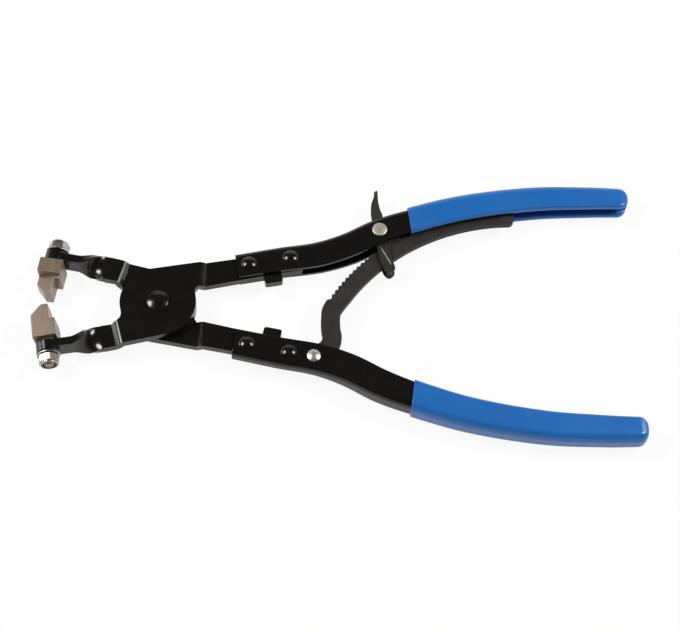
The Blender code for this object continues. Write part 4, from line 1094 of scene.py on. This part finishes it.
def insert_mesh():
    """The locking ring in the collar, chamfered on its outer face."""
    outer = COLLAR_R - COLLAR_WALL - INSERT_CLEAR
    inner = STUD_R + INSERT_CLEAR
    side = INSERT_T - RING_CHAMFER
    ring = [
        (inner, 0.0), (outer, 0.0), (outer, side), (outer - RING_CHAMFER, INSERT_T),
        (inner + RING_CHAMFER, INSERT_T), (inner, side),
    ]
    return down_stud(turned(ring, ring=True), INSERT_DOWN)


# Rivets, by geometry nodes

def rivet_head(sizes):
    """A domed head standing on z = 0, its crown a shallow cap that rolls over into the rim."""
    head, rise, crown = sizes["head"], sizes["rise"], sizes["crown"]
    lean = math.asin(head / crown)
    leans = [lean * i / CROWN_STEPS for i in range(CROWN_STEPS + 1)]
    cap = [(crown * math.sin(a), rise - crown * (1 - math.cos(a))) for a in leans]
    corners = [(0.0, 0.0, 0.0), (head, 0.0, 0.0), (*cap[-1], sizes["rim"]), (*cap[CROWN_HALF], 0.0)]
    shoulder = rounded(corners, CROWN_HALF)[2:-1]
    inside = [spot for spot in cap if spot[0] < shoulder[-1][0]]
    return turned([(0.0, 0.0), (head, 0.0)] + shoulder + inside[::-1])


def rivet_tree():
    """Rivets set in a row between two places, the given head on both ends of each shank."""
    tree = bpy.data.node_groups.new("rivet_row", "GeometryNodeTree")
    tree.is_modifier = True
    face = tree.interface
    sockets = {
        "Head": "Geometry", "First place": "Vector", "Last place": "Vector", "Count": "Int",
        "Shank radius": "Float", "Half grip": "Float", "Finish": "Material",
    }
    for name, kind in sockets.items():
        face.new_socket(name, in_out="INPUT", socket_type="NodeSocket" + kind)
    face.new_socket("Geometry", in_out="OUTPUT", socket_type="NodeSocketGeometry")
    make, link = tree.nodes.new, tree.links.new
    given = make("NodeGroupInput").outputs
    row = make("GeometryNodeMeshLine")
    row.mode = "END_POINTS"
    link(given["Count"], row.inputs["Count"])
    link(given["First place"], row.inputs["Start Location"])
    link(given["Last place"], row.inputs["Offset"])
    rivet = make("GeometryNodeJoinGeometry")
    for sign, turn in ((1.0, 0.0), (-1.0, math.pi)):
        height = make("ShaderNodeMath")
        height.operation = "MULTIPLY"
        height.inputs[1].default_value = sign
        link(given["Half grip"], height.inputs[0])
        where = make("ShaderNodeCombineXYZ")
        link(height.outputs[0], where.inputs["Z"])
        seat = make("GeometryNodeTransform")
        seat.inputs["Rotation"].default_value = (turn, 0.0, 0.0)
        link(given["Head"], seat.inputs["Geometry"])
        link(where.outputs[0], seat.inputs["Translation"])
        link(seat.outputs["Geometry"], rivet.inputs["Geometry"])
    shank = make("GeometryNodeMeshCylinder")
    shank.inputs["Vertices"].default_value = ROUND_STEPS
    length = make("ShaderNodeMath")
    length.operation = "MULTIPLY"
    length.inputs[1].default_value = 2.0
    link(given["Half grip"], length.inputs[0])
    link(given["Shank radius"], shank.inputs["Radius"])
    link(length.outputs[0], shank.inputs["Depth"])
    link(shank.outputs["Mesh"], rivet.inputs["Geometry"])
    place = make("GeometryNodeInstanceOnPoints")
    link(row.outputs["Mesh"], place.inputs["Points"])
    link(rivet.outputs["Geometry"], place.inputs["Instance"])
    real = make("GeometryNodeRealizeInstances")
    link(place.outputs["Instances"], real.inputs["Geometry"])
    paint = make("GeometryNodeSetMaterial")
    link(real.outputs["Geometry"], paint.inputs["Geometry"])
    link(given["Finish"], paint.inputs["Material"])
    link(paint.outputs["Geometry"], make("NodeGroupOutput").inputs["Geometry"])
    return tree


def rivet_row(tree, first, last, count, sizes, half_grip, finish):
    """The rivets of one row as a plain mesh."""
    obj = loose_object("rivets", rivet_head(sizes))
    modifier = obj.modifiers.new("rivets", "NODES")
    modifier.node_group = tree
    values = {
        "First place": first, "Last place": last, "Count": count,
        "Shank radius": sizes["shank"], "Half grip": half_grip, "Finish": finish,
    }
    for socket in tree.interface.items_tree:
        if socket.in_out == "INPUT" and socket.name in values:
            modifier[socket.identifier] = values[socket.name]
    mesh = settle(obj)
    mesh.materials.clear()
    return mesh


# Finishes

def set_inputs(node, values):
    for name, value in values.items():
        node.inputs[name].default_value = value


def new_finish(name, metallic, specular=0.5, coat=0.0, coat_roughness=0.1):
    """A material without its colour, roughness and relief, and its shader."""
    finish = bpy.data.materials.new(name)
    finish.use_nodes = True
    shader = finish.node_tree.nodes["Principled BSDF"]
    set_inputs(shader, {
        "Metallic": metallic, "Specular IOR Level": specular,
        "Coat Weight": coat, "Coat Roughness": coat_roughness,
    })
    return finish, shader


def grain(finish, scale, detail=4.0, stretch=(1.0, 1.0, 1.0), turn=(0.0, 0.0, 0.0)):
    """Noise on the piece's own coordinates, drawn out along an axis by stretch."""
    nodes, links = finish.node_tree.nodes, finish.node_tree.links
    place = nodes.new("ShaderNodeTexCoord")
    mapping = nodes.new("ShaderNodeMapping")
    set_inputs(mapping, {"Rotation": turn, "Scale": stretch})
    noise = nodes.new("ShaderNodeTexNoise")
    set_inputs(noise, {"Scale": scale, "Detail": detail})
    links.new(place.outputs["Object"], mapping.inputs["Vector"])
    links.new(mapping.outputs["Vector"], noise.inputs["Vector"])
    return noise.outputs["Fac"]


def spread(finish, source, low, high, start=0.3, end=0.7):
    """Spread a noise between two values."""
    node = finish.node_tree.nodes.new("ShaderNodeMapRange")
    set_inputs(node, {"From Min": start, "From Max": end, "To Min": low, "To Max": high})
    finish.node_tree.links.new(source, node.inputs["Value"])
    return node.outputs["Result"]


def tint(finish, source, dark, light):
    """Blend two tones over a noise."""
    share = spread(finish, source, 0.0, 1.0)
    node = finish.node_tree.nodes.new("ShaderNodeMix")
    node.data_type = "RGBA"
    colours = [socket for socket in node.inputs if socket.type == "RGBA"]
    colours[0].default_value = (*dark, 1.0)
    colours[1].default_value = (*light, 1.0)
    finish.node_tree.links.new(share, node.inputs["Factor"])
    return next(socket for socket in node.outputs if socket.type == "RGBA")


def relief(finish, heights, depth):
    """Stack bumps, each a height and its strength, into one normal."""
    normal = None
    for height, strength in heights:
        bump = finish.node_tree.nodes.new("ShaderNodeBump")
        set_inputs(bump, {"Strength": strength, "Distance": depth})
        finish.node_tree.links.new(height, bump.inputs["Height"])
        if normal is not None:
            finish.node_tree.links.new(normal, bump.inputs["Normal"])
        normal = bump.outputs["Normal"]
    return normal


def wire(finish, shader, colour, roughness, normal):
    """Connect what varies over the surface to the shader."""
    links = finish.node_tree.links
    links.new(colour, shader.inputs["Base Color"])
    links.new(roughness, shader.inputs["Roughness"])
    links.new(normal, shader.inputs["Normal"])
    return finish


def black_oxide():
    """Glossy black on pressed steel, with a faint warm cast and fine grain."""
    finish, shader = new_finish("black_oxide", metallic=0.0)
    cloud = grain(finish, scale=70.0, detail=3.0)
    pores = grain(finish, scale=1400.0, detail=2.0)
    colour = tint(finish, cloud, *BLACK_TONES)
    roughness = spread(finish, grain(finish, scale=220.0, detail=3.0), low=0.15, high=0.21)
    normal = relief(finish, [(pores, 0.025), (cloud, 0.03)], depth=0.1 * MM)
    return wire(finish, shader, colour, roughness, normal)


def dark_bar_steel():
    """Blanked bar with a dull dark oxide and a sandy grain."""
    finish, shader = new_finish("dark_bar_steel", metallic=0.0, specular=0.22)
    sand = grain(finish, scale=2200.0, detail=3.0)
    cloud = grain(finish, scale=140.0)
    colour = tint(finish, cloud, *BAR_TONES)
    roughness = spread(finish, cloud, low=0.46, high=0.58)
    return wire(finish, shader, colour, roughness, relief(finish, [(sand, 0.12)], depth=0.1 * MM))


def blue_vinyl():
    """Dipped vinyl: even gloss with a slow orange peel."""
    finish, shader = new_finish("blue_vinyl", metallic=0.0, coat=0.2, coat_roughness=0.15)
    cloud = grain(finish, scale=30.0, detail=2.0)
    peel = grain(finish, scale=240.0, detail=1.0)
    colour = tint(finish, cloud, *BLUE_TONES)
    roughness = spread(finish, grain(finish, scale=160.0, detail=2.0), low=0.28, high=0.34)
    return wire(finish, shader, colour, roughness, relief(finish, [(peel, 0.02)], depth=0.3 * MM))


def satin_nickel():
    """Milled blocks under satin nickel, with fine lines along the cut."""
    finish, shader = new_finish("satin_nickel", metallic=0.6, specular=0.3)
    lean = (0.0, 0.0, -JAW_LEAN)
    lines = grain(finish, scale=900.0, detail=3.0, stretch=(1.0, 0.05, 0.05), turn=lean)
    cloud = grain(finish, scale=160.0, detail=3.0)
    colour = tint(finish, lines, *NICKEL_TONES)
    roughness = spread(finish, cloud, low=0.3, high=0.36)
    return wire(finish, shader, colour, roughness, relief(finish, [(lines, 0.06)], depth=0.05 * MM))


def plated(name, tones, smooth, hazy):
    """Bright plating with a little haze and a few fine scratches."""
    finish, shader = new_finish(name, metallic=1.0)
    cloud = grain(finish, scale=300.0, detail=3.0)
    scratches = grain(finish, scale=1500.0, detail=2.0, stretch=(0.15, 1.0, 1.0), turn=(0.3, 0.2, 0.7))
    colour = tint(finish, cloud, *tones)
    roughness = spread(finish, cloud, smooth, hazy)
    return wire(finish, shader, colour, roughness, relief(finish, [(scratches, 0.04)], depth=0.05 * MM))


def drawn_wire():
    finish, shader = new_finish("drawn_wire", metallic=1.0)
    lines = grain(finish, scale=2600.0, detail=3.0, stretch=(1.0, 0.2, 1.0))
    colour = tint(finish, lines, *WIRE_TONES)
    roughness = spread(finish, lines, low=0.25, high=0.4)
    return wire(finish, shader, colour, roughness, relief(finish, [(lines, 0.1)], depth=0.05 * MM))


def dull_nylon():
    finish, shader = new_finish("dull_nylon", metallic=0.0, specular=0.4)
    cloud = grain(finish, scale=900.0)
    colour = tint(finish, cloud, *NYLON_TONES)
    roughness = spread(finish, cloud, low=0.45, high=0.6)
    return wire(finish, shader, colour, roughness, relief(finish, [(cloud, 0.1)], depth=0.05 * MM))


# Assembly

def make_half(side, prefix, place, body, tree, black, vinyl):
    """A jaw plate with its handle's channel, grip and two rivets."""
    piece(f"{side}_plate", plate_meshes(), place, black, body, [f"{side}_jaw_plate"])
    slotted = prefix == "upper"
    channel = [channel_mesh(slotted)]
    piece(f"{prefix}_channel", channel, place, black, body, [f"{prefix}_handle_channel"])
    piece(f"{prefix}_sleeve", [grip_mesh()], place, vinyl, body, [f"{prefix}_grip"])
    first, last = [handle_point(share, HANDLE_RIVET_OFFSET) for share in HANDLE_RIVET_SHARES]
    half_grip = channel_width(0.0) / 2
    row = rivet_row(tree, (*first, 0.0), (*last, 0.0), 2, HANDLE_RIVET, half_grip, black)
    nodes = [f"{prefix}_handle_rivet_{number}" for number in (1, 2)]
    piece(f"{prefix}_rivets", [row], place, black, body, nodes)


def make_jaw(prefix, half_place, swivel, nut_turn, nickel, zinc, nylon):
    """A swivel jaw's head with the washer, the nut and the nut's insert on its stud."""
    place = half_place @ jaw_frame(swivel)
    nut_place = place @ Matrix.Rotation(-nut_turn, 4, "Y")
    piece(f"{prefix}_block", head_meshes(), place, nickel, prefix, [f"{prefix}_head"])
    piece(f"{prefix}_ring", [washer_mesh()], place, zinc, prefix, [f"{prefix}_washer"])
    piece(f"{prefix}_locknut", nut_meshes(), nut_place, zinc, prefix, [f"{prefix}_nut"],
          smooth_angle=NUT_SMOOTH_ANGLE)
    piece(f"{prefix}_insert", [insert_mesh()], place, nylon, prefix, [f"{prefix}_nut_insert"])


def single_rivet(name, tree, spot, sizes, half_grip, finish, body, node):
    mesh = rivet_row(tree, (*spot, 0.0), (*spot, 0.0), 1, sizes, half_grip, finish)
    piece(name, [mesh], FRONT, finish, body, [node])


def make_tool():
    """Every piece of the tool, in its place and on its body."""
    tree = rivet_tree()
    black, vinyl, bar_steel = black_oxide(), blue_vinyl(), dark_bar_steel()
    zinc = plated("bright_rivet_zinc", LEVER_RIVET_TONES, smooth=0.4, hazy=0.48)
    domed_zinc = plated("domed_rivet_zinc", BAR_RIVET_TONES, smooth=0.33, hazy=0.39)
    nut_zinc = plated("grey_nut_zinc", NUT_TONES, smooth=0.24, hazy=0.34)
    nickel, wire_steel, nylon = satin_nickel(), drawn_wire(), dull_nylon()
    make_half("front", "upper", FRONT, "front_half", tree, black, vinyl)
    make_half("rear", "lower", REAR, "rear_half", tree, black, vinyl)
    plate_stack = PLATE_T + PLATE_GAP / 2
    lever_grip, bar_grip = channel_width(PAWL_SHARE) / 2, channel_width(BAR_PIVOT_SHARE) / 2
    single_rivet("pivot_rivet", tree, (0.0, 0.0), PIVOT_RIVET, plate_stack, black,
                 "front_half", "main_pivot_rivet")
    single_rivet("lever_rivet", tree, pawl_spot(), LEVER_RIVET, lever_grip, zinc,
                 "front_half", "pawl_rivet")
    single_rivet("bar_rivet", tree, bar_spot(), BAR_RIVET, bar_grip, domed_zinc,
                 "rear_half", "ratchet_bar_rivet")
    piece("spring_coil", [spring_mesh()], FRONT, wire_steel, "front_half", ["pawl_spring"])
    piece("toothed_bar", [bar_mesh()], FRONT, bar_steel, "bar", ["ratchet_bar"])
    lever_place = FRONT @ pawl_place()
    piece("release_lever", pawl_meshes(), lever_place, bar_steel, "pawl", ["pawl_lever"])
    # The bright zinc sliver along the ridge is a painted highlight
    piece("painted_highlight_edge", [painted_highlight_edge_mesh()], lever_place, zinc, "pawl", ["pawl_lever"])
    make_jaw("lower_jaw", FRONT, LOWER_SWIVEL, LOWER_NUT_TURN, nickel, nut_zinc, nylon)
    make_jaw("upper_jaw", REAR, UPPER_SWIVEL, 0.0, nickel, nut_zinc, nylon)


# Floor, light and camera

def make_floor():
    """A pale floor that shows white to the camera and in gloss, and keeps a soft shadow."""
    bm = bmesh.new()
    bmesh.ops.create_circle(bm, cap_ends=True, segments=FLOOR_SIDES, radius=FLOOR_R)
    floor = loose_object("floor", mesh_from(bm, "floor"))
    floor.location = (0.0, 0.0, CAD_BOX[0][2])
    finish = bpy.data.materials.new("white_floor")
    finish.use_nodes = True
    nodes, links = finish.node_tree.nodes, finish.node_tree.links
    shader = nodes["Principled BSDF"]
    set_inputs(shader, {
        "Base Color": FLOOR_TONE, "Roughness": FLOOR_ROUGHNESS, "Specular IOR Level": FLOOR_SPECULAR,
    })
    rays = nodes.new("ShaderNodeLightPath")
    seen = None
    for kind, level in FLOOR_LEVELS.items():
        share = nodes.new("ShaderNodeMath")
        share.operation = "MULTIPLY"
        share.inputs[1].default_value = level
        links.new(rays.outputs[kind], share.inputs[0])
        either = nodes.new("ShaderNodeMath")
        either.operation = "MAXIMUM"
        links.new(share.outputs[0], either.inputs[0])
        if seen is not None:
            links.new(seen, either.inputs[1])
        seen = either.outputs[0]
    white = nodes.new("ShaderNodeEmission")
    white.inputs["Strength"].default_value = 1.0
    blend = nodes.new("ShaderNodeMixShader")
    links.new(seen, blend.inputs["Fac"])
    links.new(shader.outputs["BSDF"], blend.inputs[1])
    links.new(white.outputs["Emission"], blend.inputs[2])
    links.new(blend.outputs["Shader"], nodes["Material Output"].inputs["Surface"])
    floor.data.materials.append(finish)


def make_world():
    """Soft surround, pale at the horizon and dim overhead."""
    world = bpy.data.worlds.new("studio")
    bpy.context.scene.world = world
    world.use_nodes = True
    nodes, links = world.node_tree.nodes, world.node_tree.links
    place = nodes.new("ShaderNodeTexCoord")
    split = nodes.new("ShaderNodeSeparateXYZ")
    level = nodes.new("ShaderNodeMapRange")
    level.interpolation_type = "SMOOTHSTEP"
    set_inputs(level, {
        "From Min": 0.0, "From Max": SKY_HIGH_FROM, "To Min": SKY_LOW_LEVEL, "To Max": SKY_HIGH_LEVEL,
    })
    links.new(place.outputs["Generated"], split.inputs["Vector"])
    links.new(split.outputs["Z"], level.inputs["Value"])
    links.new(level.outputs["Result"], nodes["Background"].inputs["Strength"])
    nodes["Background"].inputs["Color"].default_value = SKY_TONE


def soft_box(name, direction, distance, width, height, power):
    """A rectangular lamp that faces the frame's origin."""
    lamp = bpy.data.lights.new(name, "AREA")
    lamp.shape = "RECTANGLE"
    lamp.size = width
    lamp.size_y = height
    lamp.energy = power
    obj = loose_object(name, lamp)
    way = Vector(direction).normalized()
    obj.location = way * distance
    obj.rotation_euler = way.to_track_quat("Z", "Y").to_euler()


def make_lamps():
    for lamp in LAMPS:
        soft_box(*lamp)


def make_camera():
    """The photograph's view: its own angle, roll, lens and small shift."""
    side, rise = CAMERA_SIDE_ANGLE, CAMERA_UP_ANGLE
    back = Vector((math.sin(side) * math.cos(rise), -math.cos(side) * math.cos(rise), math.sin(rise)))
    right = Vector((math.cos(side), math.sin(side), 0.0))
    up = back.cross(right)
    cos, sin = math.cos(CAMERA_ROLL), math.sin(CAMERA_ROLL)
    camera_right = right * cos - up * sin
    camera_up = right * sin + up * cos
    data = bpy.data.cameras.new("photo_camera")
    data.lens = CAMERA_LENS
    data.sensor_width = CAMERA_SENSOR
    data.sensor_fit = "HORIZONTAL"
    data.shift_x = (PHOTO_WIDTH / 2 - PHOTO_CENTRE[0]) / PHOTO_WIDTH
    data.shift_y = (PHOTO_CENTRE[1] - PHOTO_HEIGHT / 2) / PHOTO_WIDTH
    data.clip_start = CAMERA_NEAR
    camera = loose_object("photo_camera", data)
    spot = Vector(CAMERA_TARGET) - Vector((PIVOT_BACK, 0.0, 0.0)) + back * CAMERA_DISTANCE
    axes = Matrix((camera_right, camera_up, back)).transposed().to_4x4()
    camera.matrix_world = Matrix.Translation(spot) @ axes
    bpy.context.scene.camera = camera


make_tool()
make_floor()
make_world()
make_lamps()
make_camera()
bpy.context.scene.view_settings.view_transform = "Standard"
